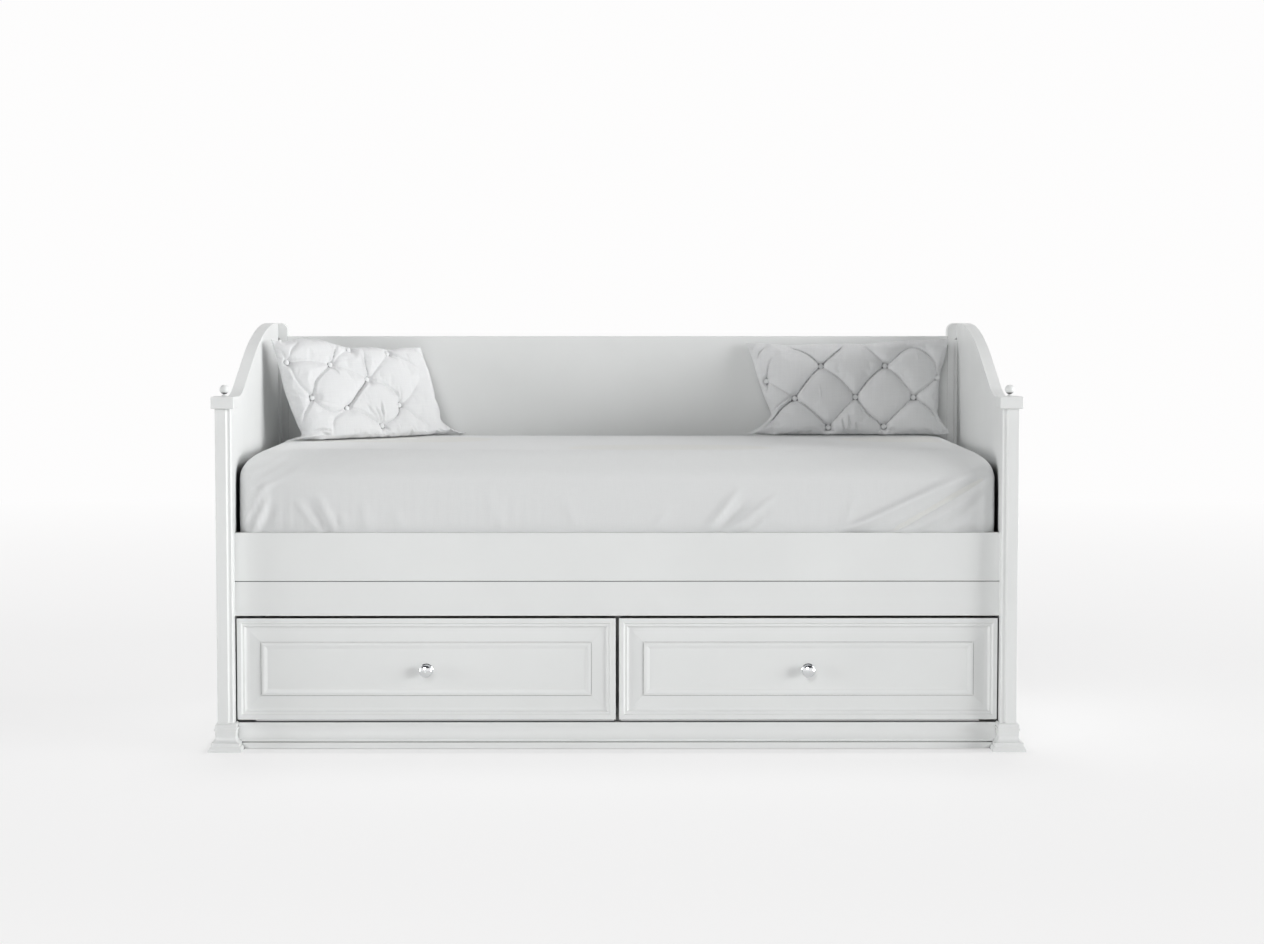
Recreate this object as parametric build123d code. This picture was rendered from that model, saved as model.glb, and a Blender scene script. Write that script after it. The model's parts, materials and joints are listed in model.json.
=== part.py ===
from build123d import *
from math import atan2, cos, radians, sin
import os

# Storage daybed: two moulded posts in front, swan-neck side panels, a plain back,
# a slatted base and two wide drawers under it. Millimetres, X along the length,
# the front faces -Y, Z up, origin on the floor under the middle of the whole bed.

# Mattress and the space it lies in
mattress_length = 1990.0
mattress_width = 890.0
mattress_thickness = 283.0
mattress_end_clearance = 10.0
mattress_front_clearance = 5.0
mattress_rear_clearance = 18.0
mattress_corner_radius = 70.0
crown_width = 70.0
crown_height = 62.0
crown_layers = 6
soft_clearance = 0.3

# Panels and boards
board_thickness = 22.0
side_panel_thickness = 32.0
edge_round = 1.5
joint_clearance = 0.2

# Front and rear posts
post_width = 42.0
post_depth = 70.0
rail_setback = 45.0
rear_post_depth = 45.0
shoulder_width = 28.0
shoulder_rise = 38.0
shoulder_radius = 22.0
post_bevel_width = 3.0
post_strip_width = 6.0
post_flank_width = 5.0
post_step_depth = 5.0
spigot_radius = 12.0
spigot_length = 30.0
tongue_thickness = 12.0
tongue_length = 6.0

# Caps and ball finials
arm_height = 929.0
cap_thickness = 31.0
cap_overhang = 9.0
cap_round = 2.0
ball_radius = 12.5
collar_radius = 8.0
collar_height = 5.5
collar_lip_height = 1.4
collar_flare_sag = 0.9
finial_neck_radius = 4.0
finial_pin_radius = 4.0
finial_pin_length = 42.0

# Foot blocks, named from the floor up
foot_slab_height = 4.0
foot_bevel_height = 8.5
foot_fillet_height = 10.0
foot_cove_height = 20.5
foot_neck_height = 11.0
foot_bead_height = 6.0
foot_top_height = 12.5
foot_slab_overhang = 23.0
foot_bevel_overhang = 18.5
foot_fillet_overhang = 16.5
foot_cove_overhang = 15.0
foot_cove_sag = 3.4
foot_neck_overhang = 6.0
foot_bead_overhang = 8.5
foot_top_overhang = 6.5
foot_rim_overhang = 3.5

# Moulded plinth, named from the floor up
plinth_floor_gap = 2.0
plinth_fillet_height = 15.0
plinth_groove_height = 3.0
plinth_bead_height = 6.0
plinth_cove_height = 33.0
plinth_band_height = 10.0
plinth_fillet_proud = 13.0
plinth_groove_proud = 8.0
plinth_bead_proud = 10.5
plinth_cove_proud = 1.5
plinth_cove_sag = 4.5
plinth_band_proud = 3.0

# Front boards
drawer_gap = 6.5
lower_board_height = 92.0
top_board_height = 127.0
board_joint_gap = 1.8
board_joint_depth = 5.0
board_edge_ease = 0.8

# Back panel, side panels and corner beads
back_height = 1073.0
arm_drop = 4.0
arm_flat = 88.4
peak_flat = 50.0
ogee_straight = 208.1
ogee_hollow_radius = 273.0
corner_bead_radius = 9.0
corner_bead_drop = 10.0

# Slatted base
slat_top_height = 500.0
slat_thickness = 18.0
slat_width = 70.0
slat_count = 14
slat_end_gap = 3.0
slat_side_gap = 30.0
bearer_thickness = 30.0
bearer_height = 36.0
beam_width = 35.0
beam_height = 60.0
divider_thickness = 18.0
divider_setback = 14.0
glide_height = 8.0
glide_radius = 15.0
glide_edge_distance = 130.0

# Bolts that hold the ends of the bed to the boards
bolt_radius = 4.0
bolt_head_radius = 8.0
bolt_head_height = 4.0
bolt_head_recess = 5.0
bolt_reach = 34.0
bolt_socket_radius = 3.0
bolt_socket_depth = 2.5
barrel_nut_radius = 5.0
barrel_nut_length = 14.0
bolt_edge_distance = 30.0
back_bolt_height = 620.0
back_bolt_drop = 68.0

# Drawers
drawer_front_height = 269.0
drawer_side_gap = 2.5
drawer_centre_gap = 9.0
drawer_board_thickness = 14.0
drawer_box_height = 190.0
drawer_box_length = 700.0
drawer_box_raise = 26.0
drawer_bottom_thickness = 6.0
drawer_bottom_raise = 12.0
drawer_groove_depth = 6.0
drawer_travel = 550.0

# Raised panel on a drawer front: distances in from the edge, depths behind the face
panel_rim_round = 2.0
panel_frame_width = 12.0
panel_step_width = 4.0
panel_step_depth = 3.0
panel_quirk_width = 5.0
panel_drop_depth = 5.0
panel_cove_width = 9.0
panel_cove_depth = 8.5
panel_cove_sag = 1.0
panel_ledge_width = 5.0
panel_slope_width = 28.0
panel_slope_rise = 3.0
panel_groove_width = 2.0
panel_groove_depth = 1.0
panel_bead_width = 9.0
panel_bead_rise = 3.0
panel_bead_crown = 0.8
panel_fall_width = 7.0
panel_fall_depth = 2.5

# Telescopic runners: three nested channels
runner_overlap = 100.0
runner_inset = 18.0
runner_height = 45.0
runner_width = 13.0
runner_metal = 1.2
runner_play = 0.4
runner_lip_clearance = 1.5
runner_raise = 50.0

# Knobs
knob_radius = 16.0
knob_rose_radius = 18.0
knob_rose_height = 3.0
knob_neck_radius = 6.0
knob_projection = 31.0
knob_rim_height = 3.0
knob_under_height = 7.0
knob_face_crown = 5.0
knob_drop = 4.0
knob_screw_radius = 2.0
knob_screw_engagement = 12.0
screw_head_radius = 4.5
screw_head_height = 2.6
screw_clearance = 0.3

# Fitted sheet over the mattress
sheet_thickness = 2.0

# Scatter pillows with buttons pulled in on a diamond grid
pillow_width = 600.0
pillow_height = 292.0
pillow_thickness = 124.0
pillow_side_pinch = 20.0
pillow_top_pinch = 9.0
tuft_pitch = 183.0
tuft_side_offset = 15.0
tuft_drop = 33.0
tuft_edge_margin = 16.0
tuft_seat = 34.0
tuft_flare_height = 46.0
tuft_flare_radius = 52.0
channel_seat = 49.0
channel_flare_height = 30.0
channel_flare_width = 34.0
pillow_button_radius = 7.5
pillow_button_crown = 4.0
pillow_tilt_deg = 13.0
left_pillow_yaw_deg = 37.0
left_pillow_tilt_deg = 15.0
right_pillow_end_gap = 27.0
pillow_touch = 0.4

# One overrun for every cut that has to run clear of a face
overrun = 5.0

# Places worked out from the sizes above
half_inner = mattress_length / 2 + mattress_end_clearance
post_outer_x = half_inner + post_width
inner_depth = mattress_front_clearance + mattress_width + mattress_rear_clearance
bed_depth = board_thickness + inner_depth
overall_depth = foot_slab_overhang + rail_setback + bed_depth + rear_post_depth
post_front_y = -overall_depth / 2 + foot_slab_overhang
post_rear_y = post_front_y + post_depth
rail_front_y = post_front_y + rail_setback
rail_rear_y = rail_front_y + board_thickness
back_face_y = rail_front_y + bed_depth
back_rear_y = back_face_y + board_thickness
rear_y = back_face_y + rear_post_depth
panel_outer_x = half_inner + side_panel_thickness
peak_height = back_height + shoulder_rise
foot_height = (
    foot_slab_height
    + foot_bevel_height
    + foot_fillet_height
    + foot_cove_height
    + foot_neck_height
    + foot_bead_height
    + foot_top_height
)
plinth_top = (
    plinth_floor_gap
    + plinth_fillet_height
    + plinth_groove_height
    + plinth_bead_height
    + plinth_cove_height
    + plinth_band_height
)
drawer_front_low = plinth_top + drawer_gap
drawer_front_high = drawer_front_low + drawer_front_height
lower_board_low = drawer_front_high + drawer_gap
top_board_low = lower_board_low + lower_board_height
top_board_high = top_board_low + top_board_height
cap_low = arm_height - cap_thickness
slat_low = slat_top_height - slat_thickness
divider_top = slat_low - beam_height
beam_y = (rail_rear_y + back_face_y) / 2
mattress_low = slat_top_height + soft_clearance
mattress_high = mattress_low + mattress_thickness
sheet_high = mattress_high + soft_clearance + sheet_thickness
mattress_y = rail_rear_y + mattress_front_clearance + mattress_width / 2
drawer_outer_x = half_inner - drawer_side_gap
drawer_inner_x = drawer_centre_gap / 2
drawer_middle_x = (drawer_outer_x + drawer_inner_x) / 2
box_outer_x = half_inner - runner_width
box_inner_x = divider_thickness / 2 + runner_width
box_front_y = rail_front_y + board_thickness
box_rear_y = box_front_y + drawer_box_length
box_low = drawer_front_low + drawer_box_raise
box_high = box_low + drawer_box_height
knob_z = (drawer_front_low + drawer_front_high) / 2 - knob_drop
runner_front_y = box_front_y + runner_inset
runner_length = drawer_travel + runner_overlap
runner_z = box_low + runner_raise
post_middle_x = half_inner + post_width / 2


def block(x_low, x_high, y_low, y_high, z_low, z_high):
    """A rectangular block between two opposite corners."""
    middle = Pos((x_low + x_high) / 2, (y_low + y_high) / 2, (z_low + z_high) / 2)
    return middle * Box(x_high - x_low, y_high - y_low, z_high - z_low)


def along_x(outline, x_low, x_high):
    """A moulding whose outline is drawn in (y, z), carried along the length."""
    face = Plane.YZ.offset(x_low) * make_face(outline)
    return extrude(face, amount=x_high - x_low, dir=(1, 0, 0))


def along_y(outline, y_low, y_high):
    """A moulding whose outline is drawn in (x, z), carried from front to back."""
    face = Plane.XZ.offset(-y_low) * make_face(outline)
    return extrude(face, amount=y_high - y_low, dir=(0, 1, 0))


def along_z(outline, z_low, z_high):
    """An upright moulding whose outline is drawn in (x, y)."""
    face = Plane.XY.offset(z_low) * make_face(outline)
    return extrude(face, amount=z_high - z_low, dir=(0, 0, 1))


def rod_x(x_low, x_high, y, z, radius):
    """A round rod lying along X."""
    return Pos((x_low + x_high) / 2, y, z) * Rot(Y=90) * Cylinder(radius, x_high - x_low)


def rod_y(y_low, y_high, x, z, radius):
    """A round rod lying along Y."""
    return Pos(x, (y_low + y_high) / 2, z) * Rot(X=90) * Cylinder(radius, y_high - y_low)


def rod_z(z_low, z_high, x, y, radius):
    """A round rod standing along Z."""
    return Pos(x, y, (z_low + z_high) / 2) * Cylinder(radius, z_high - z_low)


def ease_along(part, axis, radius):
    """Rounds every edge that runs along one axis."""
    return fillet(part.edges().filter_by(axis), radius)


def dome_arc(radius, base, rise):
    """Outline of a shallow dome, part of a sphere on the Z axis, from its rim to its top."""
    sphere = (radius ** 2 + rise ** 2) / (2 * rise)
    middle_x = radius / 2
    middle_z = base + rise - sphere + (sphere ** 2 - middle_x ** 2) ** 0.5
    return ThreePointArc((radius, base), (middle_x, middle_z), (0, base + rise))


def opposite(part):
    """The same piece for the other end of the bed."""
    return mirror(part, about=Plane.YZ)


def bolt_places():
    """Where the bolts enter the right end: front ones by height, then the back ones."""
    front_y = (rail_front_y + rail_rear_y) / 2
    back_y = (back_face_y + back_rear_y) / 2
    return [
        (front_y, top_board_low + bolt_edge_distance),
        (front_y, top_board_high - bolt_edge_distance),
        (back_y, back_bolt_height),
        (back_y, back_height - back_bolt_drop),
    ]


def bolt_inner_x(y):
    """The plane where the bolted board meets its post."""
    return half_inner if y < 0 else half_inner - shoulder_width


def bolt_cut():
    """Clearance for every bolt shank, head and barrel nut at the right end."""
    cut = None
    for y, z in bolt_places():
        tip = bolt_inner_x(y) - bolt_reach
        shank = rod_x(tip, post_outer_x + overrun, y, z, bolt_radius + joint_clearance)
        recess_x = post_outer_x - bolt_head_recess - joint_clearance
        head = rod_x(recess_x, post_outer_x + overrun, y, z, bolt_head_radius + joint_clearance)
        nut_x = tip + barrel_nut_radius
        nut_low = y - barrel_nut_length / 2 - joint_clearance
        nut_high = y + board_thickness / 2 + overrun
        tool = shank + head + rod_y(nut_low, nut_high, nut_x, z, barrel_nut_radius + joint_clearance)
        cut = tool if cut is None else cut + tool
    return cut


def bed_bolts():
    """Steel bolts along X, heads sunk in the outer faces of the posts."""
    bolts = []
    for y, z in bolt_places():
        tip = bolt_inner_x(y) - bolt_reach
        head_x = post_outer_x - bolt_head_recess
        shank = rod_x(tip, head_x, y, z, bolt_radius)
        head = rod_x(head_x, head_x + bolt_head_height, y, z, bolt_head_radius)
        socket_x = head_x + bolt_head_height
        socket = rod_x(socket_x - bolt_socket_depth, socket_x + overrun, y, z, bolt_socket_radius)
        bolt = shank + head - socket
        bolts += [bolt, opposite(bolt)]
    return bolts


def barrel_nuts():
    """Cross dowels in the board ends that the bolts draw against."""
    nuts = []
    for y, z in bolt_places():
        nut_x = bolt_inner_x(y) - bolt_reach + barrel_nut_radius
        nut = rod_y(y - barrel_nut_length / 2, y + barrel_nut_length / 2, nut_x, z, barrel_nut_radius)
        nut -= rod_x(nut_x - barrel_nut_length, nut_x + barrel_nut_length, y, z,
                     bolt_radius + joint_clearance)
        nuts += [nut, opposite(nut)]
    return nuts


def foot_profile(face, outward):
    """The moulded side of a foot block, from the floor up, on one face of its post."""
    def at(overhang, height):
        return (face + outward * overhang, height)

    bevel_z = foot_slab_height + foot_bevel_height
    cove_z = bevel_z + foot_fillet_height
    neck_z = cove_z + foot_cove_height
    bead_z = neck_z + foot_neck_height
    top_z = bead_z + foot_bead_height
    middle_overhang = (foot_cove_overhang + foot_neck_overhang) / 2 - foot_cove_sag
    middle_z = cove_z + foot_cove_height / 2 - foot_cove_sag
    lower = Polyline(
        at(foot_slab_overhang, 0),
        at(foot_slab_overhang, foot_slab_height),
        at(foot_bevel_overhang, bevel_z),
        at(foot_fillet_overhang, bevel_z),
        at(foot_fillet_overhang, cove_z),
        at(foot_cove_overhang, cove_z),
    )
    cove = ThreePointArc(
        at(foot_cove_overhang, cove_z),
        at(middle_overhang, middle_z),
        at(foot_neck_overhang, neck_z),
    )
    upper = Polyline(
        at(foot_neck_overhang, neck_z),
        at(foot_neck_overhang, bead_z),
        at(foot_bead_overhang, bead_z),
        at(foot_bead_overhang, top_z),
        at(foot_top_overhang, top_z),
        at(foot_top_overhang, foot_height - foot_rim_overhang),
        at(foot_rim_overhang, foot_height),
    )
    return lower + cove + upper


def moulded_outline(low, high, low_moulded=True, high_moulded=True):
    """Closed outline of a foot block between two faces of its post, each moulded or plain."""
    low_side = foot_profile(low, -1) if low_moulded else Line((low, 0), (low, foot_height))
    high_side = foot_profile(high, 1) if high_moulded else Line((high, 0), (high, foot_height))
    floor = Line(low_side @ 0, high_side @ 0)
    top = Line(low_side @ 1, high_side @ 1)
    return low_side + high_side + floor + top


def foot_block(y_low, y_high, rear_moulded):
    """Moulded block under a right-hand post: two mouldings crossed, so the corners mitre."""
    front_view = along_y(moulded_outline(half_inner, post_outer_x), -overall_depth, overall_depth)
    side_view = along_x(
        moulded_outline(y_low, y_high, high_moulded=rear_moulded),
        half_inner - foot_slab_overhang - overrun,
        post_outer_x + foot_slab_overhang + overrun,
    )
    socket = rod_z(
        foot_height - spigot_length - joint_clearance,
        foot_height + overrun,
        post_middle_x,
        (y_low + y_high) / 2,
        spigot_radius + joint_clearance,
    )
    return (front_view & side_view) - socket


def panel_groove(y_low, y_high):
    """Groove in a post for the tongue of the side panel."""
    middle = half_inner + side_panel_thickness / 2
    half = tongue_thickness / 2 + joint_clearance
    return block(middle - half, middle + half, y_low, y_high, foot_height, arm_height)


def front_post():
    """Right front post: flat face, a hollowed flank and a thin strip on the inner edge."""
    strip_x = half_inner + post_bevel_width
    flank_x = strip_x + post_strip_width
    flat_x = flank_x + post_flank_width
    step_y = post_front_y + post_step_depth
    hollow = ThreePointArc(
        (flank_x, step_y),
        ((flank_x + flat_x) / 2 + edge_round / 2, (step_y + post_front_y) / 2 + edge_round / 2),
        (flat_x, post_front_y),
    )
    rest = Polyline(
        (flat_x, post_front_y),
        (post_outer_x, post_front_y),
        (post_outer_x, post_rear_y),
        (half_inner, post_rear_y),
        (half_inner, step_y + post_bevel_width),
        (strip_x, step_y),
        (flank_x, step_y),
    )
    shaft = along_z(hollow + rest, foot_height, cap_low)
    corners = shaft.edges().filter_by(Axis.Z).group_by(Axis.X)[-1]
    shaft = fillet(corners, edge_round)
    middle_y = (post_front_y + post_rear_y) / 2
    shaft += rod_z(foot_height - spigot_length, foot_height, post_middle_x, middle_y, spigot_radius)
    pin = finial_pin_radius + joint_clearance
    shaft -= rod_z(arm_height - finial_pin_length, arm_height, post_middle_x, middle_y, pin)
    shaft -= panel_groove(post_rear_y - tongue_length - joint_clearance, post_rear_y + overrun)
    return shaft - bolt_cut()


def post_cap():
    """Flat block on the right front post, with eased edges all round."""
    cap = block(
        half_inner - cap_overhang,
        post_outer_x + cap_overhang,
        post_front_y - cap_overhang,
        post_rear_y,
        cap_low,
        arm_height,
    )
    cap = fillet(cap.edges(), cap_round)
    middle_y = (post_front_y + post_rear_y) / 2
    pin = finial_pin_radius + joint_clearance
    return cap - rod_z(cap_low - overrun, arm_height + overrun, post_middle_x, middle_y, pin)


def ball_finial():
    """Turned ball on a flared collar, with the pin that holds it down through the cap."""
    ball_z = collar_height + ball_radius
    neck_z = ball_z - (ball_radius ** 2 - finial_neck_radius ** 2) ** 0.5
    outline = Polyline(
        (0, ball_z + ball_radius),
        (0, -finial_pin_length),
        (finial_pin_radius, -finial_pin_length),
        (finial_pin_radius, 0),
        (collar_radius, 0),
        (collar_radius, collar_lip_height),
    )
    flare_x = (collar_radius + finial_neck_radius) / 2 - collar_flare_sag
    flare = ThreePointArc(
        (collar_radius, collar_lip_height),
        (flare_x, (collar_lip_height + neck_z) / 2),
        (finial_neck_radius, neck_z),
    )
    round_side = ThreePointArc(
        (finial_neck_radius, neck_z), (ball_radius, ball_z), (0, ball_z + ball_radius)
    )
    turned = revolve(Plane.XZ * make_face(outline + flare + round_side), axis=Axis.Z)
    return Pos(post_middle_x, (post_front_y + post_rear_y) / 2, arm_height) * turned


def rear_post():
    """Right rear post: its inner shoulder rolls up from the back panel to the peak."""
    inner = half_inner - shoulder_width
    shoulder_x = inner + shoulder_radius
    shoulder_z = peak_height - shoulder_radius
    corner = shoulder_radius * (1 - cos(radians(45)))
    roll = ThreePointArc(
        (inner, shoulder_z), (inner + corner, peak_height - corner), (shoulder_x, peak_height)
    )
    rest = Polyline(
        (shoulder_x, peak_height),
        (post_outer_x, peak_height),
        (post_outer_x, foot_height),
        (inner, foot_height),
        (inner, shoulder_z),
    )
    post = along_y(roll + rest, back_face_y, rear_y)
    post = ease_along(post, Axis.Z, edge_round)
    middle_y = (back_face_y + rear_y) / 2
    post += rod_z(foot_height - spigot_length, foot_height, post_middle_x, middle_y, spigot_radius)
    post -= panel_groove(back_face_y - overrun, back_face_y + tongue_length + joint_clearance)
    return post - bolt_cut()


def ogee_outline():
    """Side view of a side panel: level arm, hollow, straight rise, long round to the peak."""
    arm_z = arm_height - arm_drop
    hollow_start_y = post_rear_y + arm_flat
    round_end_y = back_face_y - peak_flat
    rise = peak_height - arm_z
    run = round_end_y - hollow_start_y
    half = atan2(rise, run + ogee_straight)
    slope = 2 * half
    both_radii = (run - ogee_straight * cos(slope)) / sin(slope)
    round_radius = both_radii - ogee_hollow_radius
    hollow_end_y = hollow_start_y + ogee_hollow_radius * sin(slope)
    hollow_end_z = arm_z + ogee_hollow_radius * (1 - cos(slope))
    round_start_y = round_end_y - round_radius * sin(slope)
    round_start_z = peak_height - round_radius * (1 - cos(slope))
    hollow_mid = (
        hollow_start_y + ogee_hollow_radius * sin(half),
        arm_z + ogee_hollow_radius * (1 - cos(half)),
    )
    round_mid = (
        round_end_y - round_radius * sin(half),
        peak_height - round_radius * (1 - cos(half)),
    )
    body = Polyline(
        (round_end_y, peak_height),
        (back_face_y, peak_height),
        (back_face_y, plinth_top),
        (post_rear_y, plinth_top),
        (post_rear_y, arm_z),
        (hollow_start_y, arm_z),
    )
    hollow = ThreePointArc((hollow_start_y, arm_z), hollow_mid, (hollow_end_y, hollow_end_z))
    climb = Line((hollow_end_y, hollow_end_z), (round_start_y, round_start_z))
    top = ThreePointArc((round_start_y, round_start_z), round_mid, (round_end_y, peak_height))
    return body + hollow + climb + top


def side_panel(feet):
    """Right swan-neck panel, flush with the inner face of the posts, tongued into both."""
    panel = along_x(ogee_outline(), half_inner, panel_outer_x)
    rims = panel.faces().sort_by(Axis.X)
    crest = [e for e in rims[0].edges() + rims[-1].edges() if e.center().Z > cap_low]
    crest = [e for e in crest if abs(e.tangent_at(0).Z) < sin(radians(45))]
    panel = fillet(crest, edge_round)
    middle = half_inner + side_panel_thickness / 2
    low = middle - tongue_thickness / 2
    high = middle + tongue_thickness / 2
    tongue_low = foot_height + joint_clearance
    panel += block(low, high, post_rear_y - tongue_length, post_rear_y, tongue_low, cap_low)
    panel += block(low, high, back_face_y, back_face_y + tongue_length, tongue_low, cap_low)
    for foot in feet:
        panel -= foot
    return panel


def back_panel():
    """Plain back between the rear posts, its top edge eased."""
    edge_x = half_inner - shoulder_width
    panel = block(-edge_x, edge_x, back_face_y, back_rear_y, foot_height, back_height)
    top_edges = panel.edges().filter_by(Axis.X).group_by(Axis.Z)[-1]
    panel = fillet(top_edges, edge_round)
    cut = bolt_cut()
    return panel - cut - opposite(cut)


def corner_bead():
    """Quarter-round strip in the right back corner."""
    reach = corner_bead_radius * cos(radians(45))
    on_back = (half_inner - corner_bead_radius, back_face_y)
    on_side = (half_inner, back_face_y - corner_bead_radius)
    legs = Polyline(on_back, (half_inner, back_face_y), on_side)
    front = ThreePointArc(on_side, (half_inner - reach, back_face_y - reach), on_back)
    return along_z(legs + front, slat_top_height, back_height - corner_bead_drop)


def front_board(z_low, z_high):
    """Flat board across the front with its long front edges eased."""
    board = block(-half_inner, half_inner, rail_front_y, rail_rear_y, z_low, z_high)
    front_edges = board.edges().filter_by(Axis.X).group_by(Axis.Y)[0]
    return chamfer(front_edges, board_edge_ease)


def top_front_board():
    """Upper board, bolted to both front posts."""
    cut = bolt_cut()
    return front_board(top_board_low, top_board_high) - cut - opposite(cut)


def lower_front_board():
    """Lower board, rebated along its top so that a fine dark line shows under the upper one."""
    groove = block(
        -half_inner,
        half_inner,
        rail_front_y - overrun,
        rail_front_y + board_joint_depth,
        top_board_low - board_joint_gap,
        top_board_low + overrun,
    )
    return front_board(lower_board_low, top_board_low) - groove


def plinth_outline(face, outward):
    """Section of the plinth: fillet, groove, bead, long cove and top band on one face."""
    def at(proud, height):
        return (face + outward * proud, height)

    groove_z = plinth_floor_gap + plinth_fillet_height
    bead_z = groove_z + plinth_groove_height
    cove_z = bead_z + plinth_bead_height
    band_z = cove_z + plinth_cove_height
    middle = (plinth_bead_proud + plinth_cove_proud) / 2 - plinth_cove_sag / 2
    lower = Polyline(
        at(-board_thickness, plinth_top),
        at(-board_thickness, plinth_floor_gap),
        at(plinth_fillet_proud, plinth_floor_gap),
        at(plinth_fillet_proud, groove_z),
        at(plinth_groove_proud, groove_z),
        at(plinth_groove_proud, bead_z),
        at(plinth_bead_proud, bead_z),
        at(plinth_bead_proud, cove_z),
    )
    cove = ThreePointArc(
        at(plinth_bead_proud, cove_z),
        at(middle, (cove_z + band_z) / 2 - plinth_cove_sag),
        at(plinth_cove_proud, band_z),
    )
    upper = Polyline(
        at(plinth_cove_proud, band_z),
        at(plinth_band_proud, band_z),
        at(plinth_band_proud, plinth_top - edge_round),
        at(plinth_band_proud - edge_round, plinth_top),
        at(-board_thickness, plinth_top),
    )
    return lower + cove + upper


def front_plinth(feet):
    """Moulded rail under the drawers, coped to the foot blocks at both ends."""
    rail = along_x(plinth_outline(rail_front_y, -1), -half_inner, half_inner)
    for foot in feet:
        rail -= foot
    return rail


def side_plinth(feet):
    """The same moulding under the right side panel, between its two foot blocks."""
    rail = along_y(plinth_outline(panel_outer_x, 1), post_rear_y, back_face_y)
    for foot in feet:
        rail -= foot
    return rail


def rear_rail(feet):
    """Plain rail under the back panel."""
    edge_x = half_inner - shoulder_width
    rail = block(-edge_x, edge_x, back_face_y, back_rear_y, plinth_floor_gap, foot_height)
    for foot in feet:
        rail -= foot
    return rail


def front_bearer():
    """Cleat on the top front board that carries the slats."""
    high_y = rail_rear_y + bearer_thickness
    return block(-half_inner, half_inner, rail_rear_y, high_y, slat_low - bearer_height, slat_low)


def rear_bearer():
    """Cleat on the back panel that carries the slats."""
    low_y = back_face_y - bearer_thickness
    return block(-half_inner, half_inner, low_y, back_face_y, slat_low - bearer_height, slat_low)


def centre_beam():
    """Beam along the middle of the base, standing on the divider."""
    low = beam_y - beam_width / 2
    return block(-half_inner, half_inner, low, low + beam_width, divider_top, slat_low)


def slats():
    """Evenly spaced cross slats on the bearers and the beam."""
    first = -half_inner + slat_side_gap + slat_width / 2
    step = (2 * half_inner - 2 * slat_side_gap - slat_width) / (slat_count - 1)
    out = []
    for i in range(slat_count):
        x = first + i * step
        slat = block(
            x - slat_width / 2,
            x + slat_width / 2,
            rail_rear_y + slat_end_gap,
            back_face_y - slat_end_gap,
            slat_low,
            slat_top_height,
        )
        out.append(slat)
    return out


def centre_divider():
    """Upright between the drawers that carries the beam and the inner runners."""
    half = divider_thickness / 2
    front_y = rail_rear_y + divider_setback
    return block(-half, half, front_y, back_face_y, glide_height, divider_top)


def divider_glides():
    """Two pads under the divider."""
    places = (rail_rear_y + glide_edge_distance, back_face_y - glide_edge_distance)
    return [rod_z(0, glide_height, 0, y, glide_radius) for y in places]


def channel(back_x, mouth_x, height):
    """A folded steel channel along Y: its web at back_x, its lips reaching to mouth_x."""
    toward = 1 if mouth_x > back_x else -1
    top = runner_z + height / 2
    low = runner_z - height / 2
    web_x = back_x + toward * runner_metal
    outline = Polyline(
        (back_x, low),
        (mouth_x, low),
        (mouth_x, low + runner_metal),
        (web_x, low + runner_metal),
        (web_x, top - runner_metal),
        (mouth_x, top - runner_metal),
        (mouth_x, top),
        (back_x, top),
        (back_x, low),
    )
    return along_y(outline, runner_front_y, runner_front_y + runner_length)


def runner_members(wall_x, toward):
    """The three nested channels of one runner, from the carcass wall to the drawer side."""
    nest = 2 * (runner_metal + runner_play)
    middle_x = wall_x + toward * (runner_metal + runner_play)
    drawer_x = wall_x + toward * runner_width
    fixed = channel(wall_x, drawer_x - toward * (runner_metal + runner_play), runner_height)
    middle = channel(middle_x, drawer_x - toward * (runner_metal + runner_play), runner_height - nest)
    moving_mouth = middle_x + toward * (runner_metal + runner_lip_clearance)
    moving = channel(drawer_x, moving_mouth, runner_height - 2 * nest)
    return fixed, middle, moving


def panel_profile(edge, inward):
    """Section of a drawer front from its edge to its middle, as (across, depth) points."""
    def at(distance, depth):
        return (edge + inward * distance, rail_front_y + depth)

    step = panel_frame_width + panel_step_width
    cove = step + panel_quirk_width
    ledge = cove + panel_cove_width
    slope = ledge + panel_ledge_width
    groove = slope + panel_slope_width
    bead = groove + panel_groove_width
    fall = bead + panel_bead_width
    field = fall + panel_fall_width
    slope_depth = panel_cove_depth - panel_slope_rise
    bead_depth = slope_depth - panel_bead_rise
    field_depth = bead_depth + panel_fall_depth
    rim_turn = panel_rim_round * (1 - cos(radians(45)))
    middle = drawer_front_height / 2
    cove_distance = (cove + ledge) / 2 - panel_cove_sag
    cove_depth = (panel_drop_depth + panel_cove_depth) / 2 + panel_cove_sag
    return (
        ThreePointArc(at(0, panel_rim_round), at(rim_turn, rim_turn), at(panel_rim_round, 0))
        + Polyline(
            at(panel_rim_round, 0),
            at(panel_frame_width, 0),
            at(step, panel_step_depth),
            at(cove, panel_step_depth),
            at(cove, panel_drop_depth),
        )
        + ThreePointArc(
            at(cove, panel_drop_depth),
            at(cove_distance, cove_depth),
            at(ledge, panel_cove_depth),
        )
        + Polyline(
            at(ledge, panel_cove_depth),
            at(slope, panel_cove_depth),
            at(groove, slope_depth),
            at(groove, slope_depth + panel_groove_depth),
            at(bead, slope_depth + panel_groove_depth),
            at(bead, bead_depth),
        )
        + ThreePointArc(
            at(bead, bead_depth),
            at((bead + fall) / 2, bead_depth - panel_bead_crown),
            at(fall, bead_depth),
        )
        + Polyline(
            at(fall, bead_depth),
            at(field, field_depth),
            at(middle, field_depth),
            at(middle, board_thickness),
            at(0, board_thickness),
            at(0, panel_rim_round),
        )
    )


def turned_profile(edge, inward):
    """The same section with its axes swapped, for the mouldings that run along X."""
    flat = make_face(panel_profile(edge, inward))
    return mirror(flat, about=Plane(origin=(0, 0, 0), x_dir=(1, 1, 0), z_dir=(1, -1, 0)))


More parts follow.
